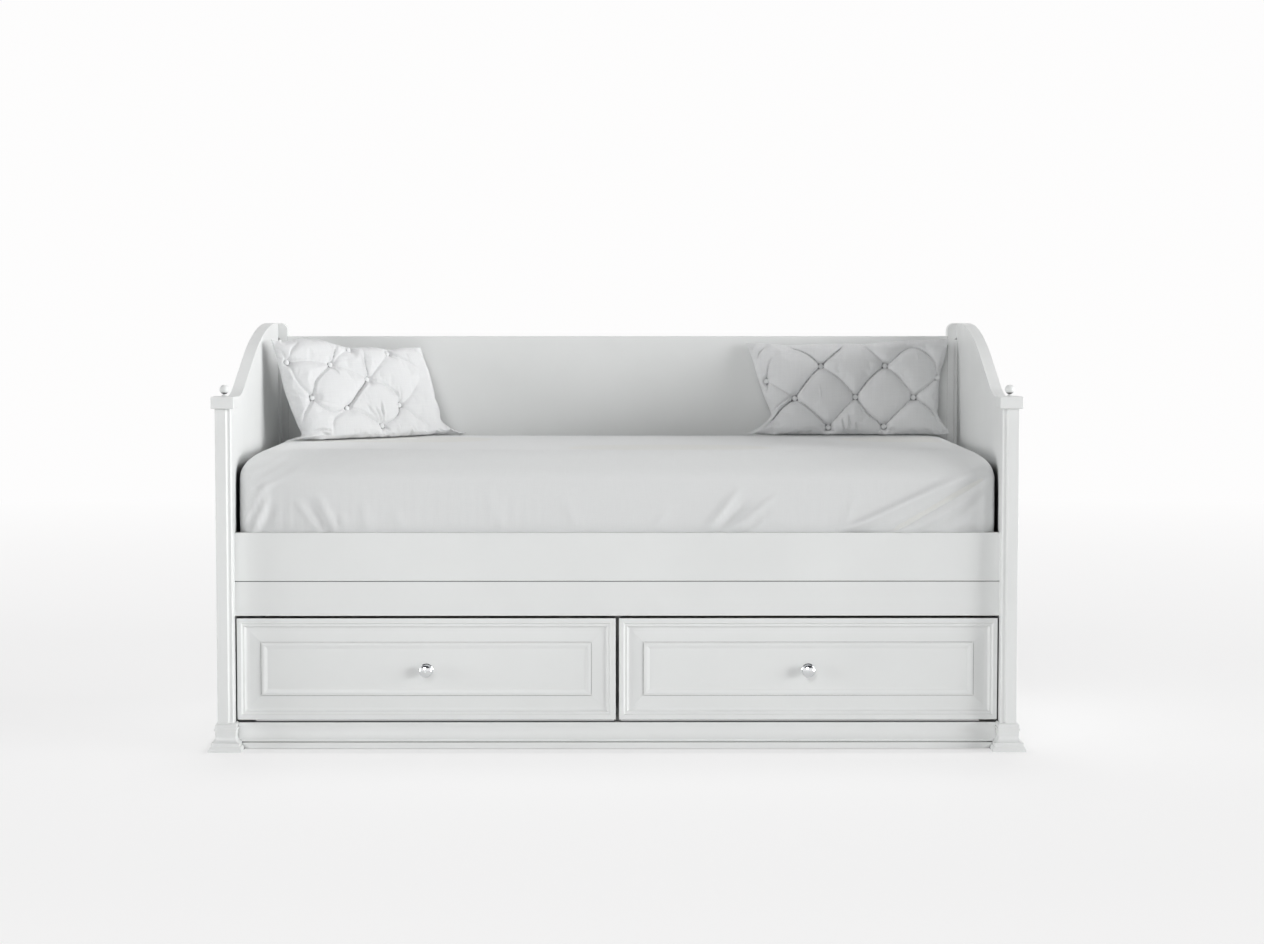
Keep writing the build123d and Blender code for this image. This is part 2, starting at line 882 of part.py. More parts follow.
def drawer_front():
    """Right drawer front: one board with a mitred frame moulding round a raised panel."""
    low_x = drawer_inner_x
    high_x = drawer_outer_x
    low_z = drawer_front_low
    high_z = drawer_front_high
    mid_z = (low_z + high_z) / 2
    half = drawer_front_height / 2
    low_y = rail_front_y - overrun
    high_y = rail_rear_y + overrun

    upright = along_z(panel_profile(low_x, 1), low_z, high_z)
    end_mitre = Polyline((low_x, low_z), (low_x + half, mid_z), (low_x, high_z), (low_x, low_z))
    upright &= along_y(end_mitre, low_y, high_y)
    face = Plane.YZ.offset(low_x) * turned_profile(low_z, 1)
    lying = extrude(face, amount=high_x - low_x, dir=(1, 0, 0))
    long_mitre = Polyline(
        (low_x, low_z),
        (high_x, low_z),
        (high_x - half, mid_z),
        (low_x + half, mid_z),
        (low_x, low_z),
    )
    lying &= along_y(long_mitre, low_y, high_y)
    other_upright = mirror(upright, about=Plane.YZ.offset(drawer_middle_x))
    other_lying = mirror(lying, about=Plane.XY.offset(mid_z))
    board = upright + other_upright + lying + other_lying
    screw = knob_screw_radius + screw_clearance
    return board - rod_y(low_y, high_y, drawer_middle_x, knob_z, screw)


def drawer_box_front():
    """Inner front of the drawer box, grooved for the bottom."""
    board = block(
        box_inner_x + drawer_board_thickness,
        box_outer_x - drawer_board_thickness,
        box_front_y,
        box_front_y + drawer_board_thickness,
        box_low,
        box_high,
    )
    screw = knob_screw_radius + screw_clearance
    board -= rod_y(box_front_y - overrun, box_rear_y, drawer_middle_x, knob_z, screw)
    return board - bottom_groove()


def bottom_groove():
    """The room that the drawer bottom takes in the boards around it."""
    low = box_low + drawer_bottom_raise - joint_clearance
    reach = drawer_board_thickness - drawer_groove_depth - joint_clearance
    return block(
        box_inner_x + reach,
        box_outer_x - reach,
        box_front_y + reach,
        box_rear_y + overrun,
        low,
        low + drawer_bottom_thickness + 2 * joint_clearance,
    )


def drawer_side(x_low):
    """One side of the right drawer box."""
    high_x = x_low + drawer_board_thickness
    side = block(x_low, high_x, box_front_y, box_rear_y, box_low, box_high)
    side = fillet(side.edges().filter_by(Axis.Y).group_by(Axis.Z)[-1], edge_round)
    return side - bottom_groove()


def drawer_back():
    """Back of the right drawer box, standing on the bottom."""
    return block(
        box_inner_x + drawer_board_thickness,
        box_outer_x - drawer_board_thickness,
        box_rear_y - drawer_board_thickness,
        box_rear_y,
        box_low + drawer_bottom_raise + drawer_bottom_thickness,
        box_high,
    )


def drawer_bottom():
    """Thin bottom slid into the grooves from behind."""
    reach = drawer_board_thickness - drawer_groove_depth
    low = box_low + drawer_bottom_raise
    return block(
        box_inner_x + reach,
        box_outer_x - reach,
        box_front_y + reach,
        box_rear_y,
        low,
        low + drawer_bottom_thickness,
    )


def knob():
    """Turned chrome knob: flat rose, slim neck and a broad head with a crowned face."""
    face_y = rail_front_y + panel_cove_depth - panel_slope_rise - panel_bead_rise + panel_fall_depth
    head = knob_projection - knob_face_crown
    rim = head - knob_rim_height
    under = rim - knob_under_height
    outline = Polyline(
        (0, knob_projection),
        (0, 0),
        (knob_rose_radius, 0),
        (knob_rose_radius, knob_rose_height / 2),
        (knob_rose_radius - knob_rose_height / 2, knob_rose_height),
        (knob_neck_radius, knob_rose_height),
        (knob_neck_radius, under),
    )
    swell = ThreePointArc(
        (knob_neck_radius, under),
        ((knob_neck_radius + knob_radius) / 2 + edge_round, (under + rim) / 2 - edge_round),
        (knob_radius, rim),
    )
    edge = Line((knob_radius, rim), (knob_radius, head))
    crown = dome_arc(knob_radius, head, knob_face_crown)
    turned = revolve(Plane.XZ * make_face(outline + swell + edge + crown), axis=Axis.Z)
    hole = knob_screw_radius + joint_clearance
    turned -= rod_z(-overrun, knob_screw_engagement + joint_clearance, 0, 0, hole)
    return Pos(drawer_middle_x, face_y, knob_z) * Rot(X=90) * turned


def knob_screw():
    """Machine screw from inside the drawer into the knob."""
    face_y = rail_front_y + panel_cove_depth - panel_slope_rise - panel_bead_rise + panel_fall_depth
    tip = face_y - knob_screw_engagement
    seat = box_front_y + drawer_board_thickness
    shank = rod_y(tip, seat, drawer_middle_x, knob_z, knob_screw_radius)
    return shank + rod_y(seat, seat + screw_head_height, drawer_middle_x, knob_z, screw_head_radius)


def crowned_slab(swell, high):
    """A mattress shape: upright sides, rounded corners and a rounded crown, from lofted layers."""
    layers = [(mattress_low, 0)]
    for i in range(crown_layers + 1):
        turn = radians(90) * i / crown_layers
        inset = crown_width * (1 - cos(turn))
        layers.append((high - crown_height + crown_height * sin(turn), inset))
    outlines = []
    for z, inset in layers:
        length = mattress_length - 2 * inset + 2 * swell
        width = mattress_width - 2 * inset + 2 * swell
        corner = mattress_corner_radius + inset / 2 + swell
        outlines.append(Pos(0, mattress_y, z) * RectangleRounded(length, width, corner))
    return loft(outlines, ruled=True)


def mattress():
    """The mattress core."""
    return crowned_slab(0, mattress_high)


def fitted_sheet():
    """Sheet drawn over the mattress, open underneath."""
    inner = crowned_slab(soft_clearance, mattress_high + soft_clearance)
    return crowned_slab(soft_clearance + sheet_thickness, sheet_high) - inner


def pillow_layer(corner_x, corner_z, side_pinch, top_pinch, y):
    """Four arcs through the corners of a pillow, hollow or full between them."""
    left = corner_x - side_pinch
    top = corner_z - top_pinch
    outline = (
        ThreePointArc((-corner_x, -corner_z), (0, -top), (corner_x, -corner_z))
        + ThreePointArc((corner_x, -corner_z), (left, 0), (corner_x, corner_z))
        + ThreePointArc((corner_x, corner_z), (0, top), (-corner_x, corner_z))
        + ThreePointArc((-corner_x, corner_z), (-left, 0), (-corner_x, -corner_z))
    )
    return Plane.XZ.offset(y) * make_face(outline)


def pillow_half():
    """Front half of a pillow, from the seam round its edge to its crown."""
    inset_shares = (0.0, 0.075, 0.20, 0.38, 0.62)
    pinch_shares = (1.0, 0.55, 0.1, -0.25, -0.3)
    depth_shares = (0.0, 0.42, 0.72, 0.92, 1.0)
    layers = []
    for inset_share, pinch_share, depth_share in zip(inset_shares, pinch_shares, depth_shares):
        layers.append(
            pillow_layer(
                pillow_width / 2 - inset_share * pillow_height / 2,
                pillow_height / 2 * (1 - inset_share),
                pillow_side_pinch * pinch_share,
                pillow_top_pinch * pinch_share,
                pillow_thickness / 2 * depth_share,
            )
        )
    return loft(layers)


def tuft_places():
    """Button places on the face of a pillow, a diamond grid inside its margins."""
    places = []
    rows = int(pillow_height / tuft_pitch) + 2
    columns = int(pillow_width / tuft_pitch) + 2
    for row in range(-rows, rows + 1):
        for column in range(-2 * columns, 2 * columns + 1):
            if (row + column) % 2:
                continue
            x = tuft_side_offset + column * tuft_pitch / 2
            z = -tuft_drop + row * tuft_pitch / 2
            inside_x = abs(x) < pillow_width / 2 - pillow_side_pinch - tuft_edge_margin
            inside_z = abs(z) < pillow_height / 2 - tuft_edge_margin
            if inside_x and inside_z:
                places.append((x, z))
    return places


def tuft_cone(x, z):
    """The hollow that a pulled button leaves in the front of a pillow."""
    low_radius = pillow_button_radius + soft_clearance
    cone = Cone(low_radius, tuft_flare_radius, tuft_flare_height)
    return Pos(x, -tuft_seat - tuft_flare_height / 2, z) * Rot(X=90) * cone


def channel_wedge(offset, rising):
    """A straight sewn channel at 45 degrees across the front of a pillow."""
    lean = 1 if rising else -1
    reach = pillow_width
    across = (sin(radians(45)), 0, -lean * sin(radians(45)))
    along = (sin(radians(45)), 0, lean * sin(radians(45)))
    start = (offset - reach * along[0], 0, -reach * along[2])
    plane = Plane(origin=start, x_dir=across, z_dir=along)
    outward = -1 if plane.y_dir.Y > 0 else 1
    tip = outward * channel_seat
    mouth = outward * (channel_seat + channel_flare_height)
    outline = Polyline(
        (0, tip), (channel_flare_width, mouth), (-channel_flare_width, mouth), (0, tip)
    )
    return extrude(plane * make_face(outline), amount=2 * reach, dir=along)


def pillow():
    """A whole pillow in its own frame: width along X, height along Z, tufted face towards -Y."""
    front = pillow_half()
    cut = None
    for x, z in tuft_places():
        cone = tuft_cone(x, z)
        cut = cone if cut is None else cut + cone
    reach = int(pillow_width / tuft_pitch) + 1
    for k in range(-reach, reach + 1):
        for rising in (True, False):
            lean = 1 if rising else -1
            offset = tuft_side_offset + lean * tuft_drop + k * tuft_pitch
            if abs(offset) < (pillow_width + pillow_height) / 2:
                cut += channel_wedge(offset, rising)
    return (front - cut) + mirror(front, about=Plane.XZ)


def pillow_buttons():
    """Covered buttons at the bottom of every tuft."""
    rise = pillow_button_crown
    dome = dome_arc(pillow_button_radius, 0, rise)
    rest = Polyline((0, rise), (0, 0), (pillow_button_radius, 0))
    button = revolve(Plane.XZ * make_face(dome + rest), axis=Axis.Z)
    out = []
    for x, z in tuft_places():
        out.append(Pos(x, -tuft_seat - soft_clearance, z) * Rot(X=90) * button)
    return out


def seat_pillow(yaw_deg, tilt_deg, toward_left):
    """A pillow and its buttons, leant back, turned and set against what holds them."""
    turn = Rot(Z=yaw_deg) * Rot(X=-tilt_deg)
    body = turn * pillow()
    box = body.bounding_box()
    if toward_left:
        shift_x = -half_inner + pillow_touch - box.min.X
    else:
        shift_x = half_inner - right_pillow_end_gap - box.max.X
    shift_y = back_face_y - pillow_touch - box.max.Y
    shift_z = sheet_high + soft_clearance - box.min.Z
    place = Pos(shift_x, shift_y, shift_z)
    return place * body, [place * turn * button for button in pillow_buttons()]


def whole(pieces):
    """One node that holds several separate solids."""
    return Compound(children=list(pieces))


def build_nodes():
    """Every piece of the bed by name."""
    right_feet = [
        foot_block(post_front_y, post_rear_y, True),
        foot_block(back_face_y, rear_y, False),
    ]
    left_feet = [opposite(foot) for foot in right_feet]
    feet = right_feet + left_feet

    nodes = {}
    pairs = {
        "front_post": front_post(),
        "post_cap": post_cap(),
        "ball_finial": ball_finial(),
        "rear_post": rear_post(),
        "front_foot": right_feet[0],
        "rear_foot": right_feet[1],
        "side_panel": side_panel(right_feet),
        "side_plinth": side_plinth(right_feet),
        "corner_bead": corner_bead(),
    }
    fixed_outer, middle_outer, moving_outer = runner_members(half_inner, -1)
    fixed_inner, middle_inner, moving_inner = runner_members(divider_thickness / 2, 1)
    pairs["runner_fixed"] = whole([fixed_outer, fixed_inner])
    pairs["runner_middle"] = whole([middle_outer, middle_inner])
    pairs["runner_drawer"] = whole([moving_outer, moving_inner])
    pairs["drawer_front"] = drawer_front()
    pairs["drawer_box_front"] = drawer_box_front()
    pairs["drawer_inner_side"] = drawer_side(box_inner_x)
    pairs["drawer_outer_side"] = drawer_side(box_outer_x - drawer_board_thickness)
    pairs["drawer_back"] = drawer_back()
    pairs["drawer_bottom"] = drawer_bottom()
    pairs["knob"] = knob()
    pairs["knob_screw"] = knob_screw()
    for name, part in pairs.items():
        nodes["right_" + name] = part
        nodes["left_" + name] = opposite(part)

    nodes["back_panel"] = back_panel()
    nodes["top_front_board"] = top_front_board()
    nodes["lower_front_board"] = lower_front_board()
    nodes["front_plinth"] = front_plinth([feet[0], feet[2]])
    nodes["rear_rail"] = rear_rail([feet[1], feet[3]])
    nodes["front_slat_bearer"] = front_bearer()
    nodes["rear_slat_bearer"] = rear_bearer()
    nodes["centre_beam"] = centre_beam()
    nodes["slats"] = whole(slats())
    nodes["centre_divider"] = centre_divider()
    nodes["divider_glides"] = whole(divider_glides())
    nodes["bed_bolts"] = whole(bed_bolts())
    nodes["barrel_nuts"] = whole(barrel_nuts())
    nodes["mattress"] = mattress()
    nodes["fitted_sheet"] = fitted_sheet()
    right_body, right_buttons = seat_pillow(0, pillow_tilt_deg, False)
    left_body, left_buttons = seat_pillow(left_pillow_yaw_deg, left_pillow_tilt_deg, True)
    nodes["right_pillow"] = right_body
    nodes["right_pillow_buttons"] = whole(right_buttons)
    nodes["left_pillow"] = left_body
    nodes["left_pillow_buttons"] = whole(left_buttons)
    return nodes


os.makedirs("parts", exist_ok=True)
for node_name, node_part in build_nodes().items():
    export_step(node_part, "parts/" + node_name + ".step")
print("travel of each drawer", drawer_travel, "overall depth", overall_depth)
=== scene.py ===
# %% [markdown]
# A painted storage daybed with a sheeted mattress and two tufted pillows.
# The wooden pieces, knobs and runners come ready made as a fixed frame, in metres, and
# this lesson gives them their finishes. The soft things are modelled here: each is a
# surface worked out with numpy from a few real sizes and from the frame's own places.

# %% Load the frame
import json
import math

import bmesh
import bpy
import numpy as np
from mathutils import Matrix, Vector


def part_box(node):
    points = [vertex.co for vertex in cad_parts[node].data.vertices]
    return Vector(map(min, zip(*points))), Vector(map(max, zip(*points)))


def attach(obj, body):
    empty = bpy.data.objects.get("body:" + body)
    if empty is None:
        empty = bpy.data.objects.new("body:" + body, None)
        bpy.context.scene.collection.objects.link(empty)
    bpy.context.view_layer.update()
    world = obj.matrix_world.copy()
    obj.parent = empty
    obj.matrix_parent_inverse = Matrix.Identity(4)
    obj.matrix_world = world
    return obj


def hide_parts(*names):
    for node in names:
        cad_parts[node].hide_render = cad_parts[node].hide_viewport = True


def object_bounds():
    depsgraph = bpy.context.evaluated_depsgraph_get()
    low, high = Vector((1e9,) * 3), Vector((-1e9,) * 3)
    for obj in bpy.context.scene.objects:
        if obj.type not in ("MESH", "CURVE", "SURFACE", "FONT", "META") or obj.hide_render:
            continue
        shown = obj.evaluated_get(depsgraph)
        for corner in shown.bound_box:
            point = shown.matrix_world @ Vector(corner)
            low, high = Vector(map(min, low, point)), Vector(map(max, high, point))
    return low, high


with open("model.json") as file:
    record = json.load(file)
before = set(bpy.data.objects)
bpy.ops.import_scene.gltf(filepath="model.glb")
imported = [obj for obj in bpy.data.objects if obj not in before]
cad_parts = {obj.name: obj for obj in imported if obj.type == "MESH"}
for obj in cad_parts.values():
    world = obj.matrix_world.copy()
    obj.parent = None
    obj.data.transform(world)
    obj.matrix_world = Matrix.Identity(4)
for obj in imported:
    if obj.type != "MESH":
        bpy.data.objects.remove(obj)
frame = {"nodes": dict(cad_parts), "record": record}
cad_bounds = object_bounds()
nodes = frame["nodes"]
scene = bpy.context.scene

# %% [markdown]
# Every new surface here is a grid: two arrays of parameters go in, one array of points
# comes out. The helpers below turn such arrays into a mesh, weld the places where the
# grid meets itself, and turn all faces outwards.

# %% Mesh helpers
MM = 0.001
WELD = 0.00005


def grid_faces(rows, columns, first=0, closed=False, flip=False):
    """Quads between neighbours of a grid, row by row; closed joins its last column to the first."""
    steps = columns if closed else columns - 1
    row, column = np.meshgrid(np.arange(rows - 1), np.arange(steps), indexing="ij")
    following = (column + 1) % columns
    corners = [row * columns + column, row * columns + following,
               (row + 1) * columns + following, (row + 1) * columns + column]
    quads = np.stack([c.ravel() for c in corners], axis=1) + first
    return quads[:, ::-1] if flip else quads


def mesh_object(name, points, faces, cloth=None, smooth=True):
    """A mesh from any grid of points and an (m, 4) array of quads, its doubles merged and its faces
    turned outwards. cloth is a like grid that lays the points out flat, in metres of cloth."""
    mesh = bpy.data.meshes.new(name)
    mesh.from_pydata(np.reshape(points, (-1, 3)).astype(float).tolist(), [], np.asarray(faces).tolist())
    if cloth is not None:
        corner = np.empty(len(mesh.loops), dtype=np.int32)
        mesh.loops.foreach_get("vertex_index", corner)
        layer = mesh.uv_layers.new(name="cloth")
        layer.data.foreach_set("uv", np.reshape(cloth, (-1, 2)).astype(np.float32)[corner].ravel())
    work = bmesh.new()
    work.from_mesh(mesh)
    bmesh.ops.remove_doubles(work, verts=work.verts, dist=WELD)
    bmesh.ops.dissolve_degenerate(work, edges=work.edges, dist=WELD)
    bmesh.ops.recalc_face_normals(work, faces=work.faces)
    work.to_mesh(mesh)
    work.free()
    mesh.polygons.foreach_set("use_smooth", np.full(len(mesh.polygons), smooth))
    piece = bpy.data.objects.new(name, mesh)
    scene.collection.objects.link(piece)
    return piece


def corners_of(name):
    """The low and high corner of a node's box."""
    return tuple(np.array(corner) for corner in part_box(name))


def ease(low, high, value):
    """Rises from 0 to 1 between low and high with level ends: t squared times (3 - 2t)."""
    t = np.clip((value - low) / (high - low), 0, 1)
    return t * t * (3 - 2 * t)


# %% [markdown]
# The camera stands where the photographer stood: straight in front, a little above
# arm height, with a long lens, so that the two ends of the bed stay almost parallel.

# %% Camera
PHOTO_WIDTH = 1264
FOCAL_PX = 2680.0
SENSOR_WIDTH = 36.0
CAMERA_PLACE = (0.012, -7.468, 1.183)
CAMERA_PITCH = 0.0645
CAMERA_YAW = -0.0038

lens = bpy.data.cameras.new("camera")
lens.sensor_width = SENSOR_WIDTH
lens.lens = FOCAL_PX / PHOTO_WIDTH * SENSOR_WIDTH
lens.clip_end = 60.0
camera = bpy.data.objects.new("camera", lens)
camera.location = CAMERA_PLACE
camera.rotation_euler = (math.pi / 2 - CAMERA_PITCH, 0.0, CAMERA_YAW)
scene.collection.objects.link(camera)
scene.camera = camera
print("lens", round(lens.lens, 1), "mm")

# %% [markdown]
# The sky and all finishes are built from nodes. `Nodes` keeps the typing short: it adds a
# node with its settings and links in one call. A `Finish` is the same for one material,
# and constant values go straight onto its shader's own sockets.


# %% Node helper
class Nodes:
    """The node tree of a world or a material."""

    def __init__(self, owner):
        owner.use_nodes = True
        self.tree = owner.node_tree

    def add(self, kind, settings=(), *values, **inputs):
        """A node of a kind; its inputs, in order or by name, are numbers, colours or outputs."""
        node = self.tree.nodes.new("ShaderNode" + kind)
        for key, value in dict(settings).items():
            setattr(node, key, value)
        for key, value in [*enumerate(values), *inputs.items()]:
            self.feed(node.inputs[key], value)
        return node

    def feed(self, socket, value):
        """Links an output to a socket, or sets the socket's own value."""
        if isinstance(value, bpy.types.NodeSocket):
            self.tree.links.new(value, socket)
        else:
            socket.default_value = value

    def span(self, value, low, high, new_low=0.0, new_high=1.0):
        """Carries a value from one span to another."""
        node = self.add("MapRange", **{"Value": value, "From Min": low, "From Max": high,
                                       "To Min": new_low, "To Max": new_high})
        return node.outputs["Result"]

    def math(self, operation, *values):
        """One number from others, such as their sum or a sine."""
        return self.add("Math", {"operation": operation}, *values).outputs[0]

    def vector(self, operation, *values):
        """The outputs of a step with vectors: a vector and a number."""
        return self.add("VectorMath", {"operation": operation}, *values).outputs


class Finish(Nodes):
    """One material and its tree, with a surface shader ready."""

    def __init__(self, name, color, roughness, metallic=0.0):
        self.material = bpy.data.materials.new(name)
        super().__init__(self.material)
        self.shader = self.tree.nodes["Principled BSDF"]
        self.surface(Base_Color=(*color, 1.0), Roughness=roughness, Metallic=metallic)

    def surface(self, **values):
        """Gives the shader numbers, colours or outputs; a _ in a socket's name stands for a space."""
        for key, value in values.items():
            self.feed(self.shader.inputs[key.replace("_", " ")], value)
        return self.material

    def place(self, scale=(1, 1, 1)):
        """The piece's own coordinates, stretched."""
        where = self.add("TexCoord").outputs["Object"]
        return self.add("Mapping", Vector=where, Scale=scale).outputs[0]

    def noise(self, scale, detail, place=None):
        """Cloudy values around one half."""
        where = place or self.place()
        return self.add("TexNoise", Vector=where, Scale=scale, Detail=detail, Roughness=0.5).outputs["Fac"]

    def blend(self, share, first, second):
        """A colour between two colours."""
        node = self.add("Mix", {"data_type": "RGBA"}, share)
        self.feed(node.inputs[6], first)
        self.feed(node.inputs[7], second)
        return node.outputs[2]

    def bump(self, height, strength, distance, *normal):
        """Relief from a height value, on top of an earlier relief if there is one."""
        node = self.add("Bump", Height=height, Strength=strength, Distance=distance)
        for value in normal:
            self.feed(node.inputs["Normal"], value)
        return node.outputs["Normal"]


# %% [markdown]
# A white studio is lit by big soft sources at the sides. Here each is a far lamp, given
# by where it stands round the bed, how high, and how wide it looks from there: two low on
# the right, whose light grazes the fronts and throws the right end's shadow on the back,
# one low on the left, a weak one in front, and one behind that lights the mattress top.
# An even white world fills the shadows. Polished metal also needs something to mirror:
# white walls up to a third of the way overhead, and a dark ceiling above them.

# %% Light
LAMPS = {
    # degrees round from the front, up and wide, and strength
    "right_side_lamp": (86, 12, 30, 0.545),
    "right_front_lamp": (60, 6, 20, 0.445),
    "left_side_lamp": (-75, 6, 20, 0.385),
    "front_lamp": (-15, 30, 24, 0.245),
    "back_lamp": (180, 62, 24, 0.305),
}
WORLD_STRENGTH = 0.10
FILL = (0.98, 1.0, 1.0, 1)
PALE = (0.985, 0.98, 0.98, 1)
CEILING = (0.05, 0.05, 0.055, 1)
WALL_TOP, CEILING_EDGE = np.sin(np.radians([27, 36]))

for name, (round_deg, up_deg, wide_deg, strength) in LAMPS.items():
    turn, rise = math.radians(round_deg), math.radians(up_deg)
    level = math.cos(rise)
    towards = Vector((math.sin(turn) * level, -math.cos(turn) * level, math.sin(rise)))
    lamp = bpy.data.lights.new(name, "SUN")
    lamp.energy = math.pi * strength
    lamp.angle = math.radians(wide_deg)
    holder = bpy.data.objects.new(name, lamp)
    holder.rotation_euler = towards.to_track_quat("Z", "Y").to_euler()
    scene.collection.objects.link(holder)

scene.world = bpy.data.worlds.new("studio")
sky = Nodes(scene.world)
sky.tree.nodes.clear()
ray = sky.add("LightPath").outputs
upward = sky.add("SeparateXYZ", Vector=sky.add("TexCoord").outputs["Generated"]).outputs["Z"]
overhead = sky.span(upward, WALL_TOP, CEILING_EDGE)
walls, ceiling, fill = (
    sky.add("Background", Color=color, Strength=strength).outputs[0]
    for color, strength in ((PALE, 1.0), (CEILING, 1.0), (FILL, WORLD_STRENGTH))
)
mirrored = sky.add("MixShader", (), overhead, walls, ceiling).outputs[0]
unseen = sky.add("MixShader", (), ray["Is Glossy Ray"], fill, mirrored).outputs[0]
whole = sky.add("MixShader", (), ray["Is Camera Ray"], unseen, walls).outputs[0]
sky.add("OutputWorld", Surface=whole)
scene.view_settings.view_transform = "Standard"
print(len(LAMPS), "lamps")

# %% [markdown]
# The woodwork has a satin white paint, sprayed and rubbed down. Seen close it has a very
# fine orange peel and faint clouds in its gloss, and its sharpest edges are painted a touch
# lighter and warmer, partly as wear and partly as a painted highlight. The bevel node finds
# those edges: it compares the true normal with one that is averaged over a few millimetres.
# In the narrow gaps round the drawers and in other tight hollows a painted shade goes in:
# the occlusion node measures how much of the view out of a point is free within a few
# centimetres, and where little of it is free it brings in near black.

# %% Paint
PAINT = (0.80, 0.81, 0.805)
PAINT_DEEP = (0.765, 0.775, 0.77)
PAINT_WORN_HIGHLIGHT = (0.84, 0.835, 0.82)
PAINTED_GAP_SHADE = (0.012, 0.012, 0.012)
GAP_SHADE_REACH = 0.030
GAP_SHADE_OPEN, GAP_SHADE_SHUT = 0.47, 0.27
EDGE_RADIUS = 0.0022
EDGE_BLUNT, EDGE_SHARP = 0.995, 0.90


def painted_wood():
    """Satin white paint on smooth wood."""
    paint = Finish("painted_wood", PAINT, 0.42)
    clouds = paint.span(paint.noise(3.2, 4.0), 0.3, 0.7)
    base = paint.blend(clouds, (*PAINT_DEEP, 1), (*PAINT, 1))
    rounded = paint.add("Bevel", {"samples": 4}, Radius=EDGE_RADIUS).outputs[0]
    true = paint.add("NewGeometry").outputs["Normal"]
    edge = paint.span(paint.vector("DOT_PRODUCT", rounded, true)["Value"], EDGE_BLUNT, EDGE_SHARP)
    # Painted highlight, partly wear: the sharpest edges turn a touch lighter and warmer.
    rubbed_highlight = paint.math("MULTIPLY", edge, paint.span(paint.noise(38.0, 5.0), 0.42, 0.62, 0.0, 0.8))
    worn_highlight = paint.blend(rubbed_highlight, base, (*PAINT_WORN_HIGHLIGHT, 1))
    # Painted shade: near black in the drawer gaps and tight hollows, where little of the view is free.
    free = paint.add("AmbientOcclusion", {"samples": 16}, Distance=GAP_SHADE_REACH).outputs["AO"]
    gap = paint.span(free, GAP_SHADE_OPEN, GAP_SHADE_SHUT)
    gloss = paint.span(paint.noise(9.0, 5.0), 0.3, 0.7, 0.36, 0.50)
    peel = paint.bump(paint.noise(650.0, 2.0), 0.10, 0.0004)
    brushed = paint.noise(60.0, 4.0, paint.place((0.12, 1.0, 1.0)))
    return paint.surface(
        Base_Color=paint.blend(gap, worn_highlight, (*PAINTED_GAP_SHADE, 1)), Roughness=gloss, Coat_Weight=0.06,
        Coat_Roughness=0.30, Normal=paint.bump(brushed, 0.05, 0.0006, peel),
    )


# %% [markdown]
# Bare wood is grain: long fibres, slow rings and pores. All three are noises of one
# place, stretched a lot along the board. Pine slats show wide warm rings, and the
# drawers' lacquered birch ply is paler, with short pores.

# %% Bare woods
GRAIN_STRETCH = 0.045
RING_TURNS = 46.0
FIBRES_PER_RING = 26


def bare_wood(name, light, dark, along, ring_scale, roughness):
    """Planed wood whose grain runs along the axis named by along (0 X, 1 Y, 2 Z)."""
    wood = Finish(name, light, roughness)
    stretch = [1.0, 1.0, 1.0]
    stretch[along] = GRAIN_STRETCH
    place = wood.place(tuple(stretch))
    bands = wood.math("MULTIPLY", wood.noise(ring_scale, 3.0, place), RING_TURNS)
    rings = wood.math("SINE", bands)
    fibres = wood.noise(ring_scale * FIBRES_PER_RING, 4.0, place)
    rings, pores = wood.span(rings, -1.0, 1.0, 0.0, 0.55), wood.span(fibres, 0.35, 0.7, 0.0, 0.45)
    share = wood.math("ADD", rings, pores)
    return wood.surface(
        Base_Color=wood.blend(share, (*light, 1), (*dark, 1)),
        Roughness=wood.span(fibres, 0.3, 0.7, roughness - 0.06, roughness + 0.08),
        Normal=wood.bump(fibres, 0.25, 0.0005),
    )


# %% [markdown]
# The knobs are polished chrome: a mirror with the slightest haze and a few fine wipe
# marks. Runners, bolts and nuts are zinc plated, so they carry a cloudy, rolled grey.


# %% Metals and plastic
def chrome():
    """Polished chrome."""
    metal = Finish("chrome", (0.80, 0.81, 0.82), 0.06, 1.0)
    wipes = metal.noise(90.0, 5.0, metal.place((1.0, 1.0, 0.2)))
    haze = metal.bump(metal.noise(240.0, 2.0), 0.02, 0.0002)
    return metal.surface(Roughness=metal.span(wipes, 0.3, 0.75, 0.035, 0.12), Normal=haze)


def zinc_steel():
    """Zinc plated sheet steel with rolling marks."""
    metal = Finish("zinc_steel", (0.60, 0.61, 0.62), 0.34, 1.0)
    rolled = metal.noise(70.0, 5.0, metal.place((1.0, 0.04, 1.0)))
    spangle = metal.span(metal.noise(120.0, 2.0), 0.3, 0.7)
    return metal.surface(
        Base_Color=metal.blend(spangle, (0.54, 0.55, 0.565, 1), (0.68, 0.69, 0.70, 1)),
        Roughness=metal.span(rolled, 0.3, 0.7, 0.26, 0.46), Normal=metal.bump(rolled, 0.12, 0.0003),
    )


def glide_plastic():
    """Moulded nylon of the glides."""
    plastic = Finish("glide_plastic", (0.80, 0.80, 0.79), 0.5)
    matt = plastic.span(plastic.noise(60.0, 4.0), 0.3, 0.7, 0.42, 0.58)
    return plastic.surface(Roughness=matt, Normal=plastic.bump(plastic.noise(900.0, 2.0), 0.15, 0.0002))


# %% [markdown]
# Cloth is a weave: two families of threads that pass over and under each other. Here it
# follows the cloth's own UV map, which is laid out in metres of cloth, so the threads
# bend with the folds. One sine runs along each family, and their product decides which
# thread lies on top. In the narrow folds of the pillows, where little light reaches between
# the two faces of cloth, a dark shade is painted in where the occlusion node finds the view closed.

# %% Cloth
FOLD_SHADE_REACH = 0.009
FOLD_SHADE_OPEN, FOLD_SHADE_SHUT = 0.56, 0.16


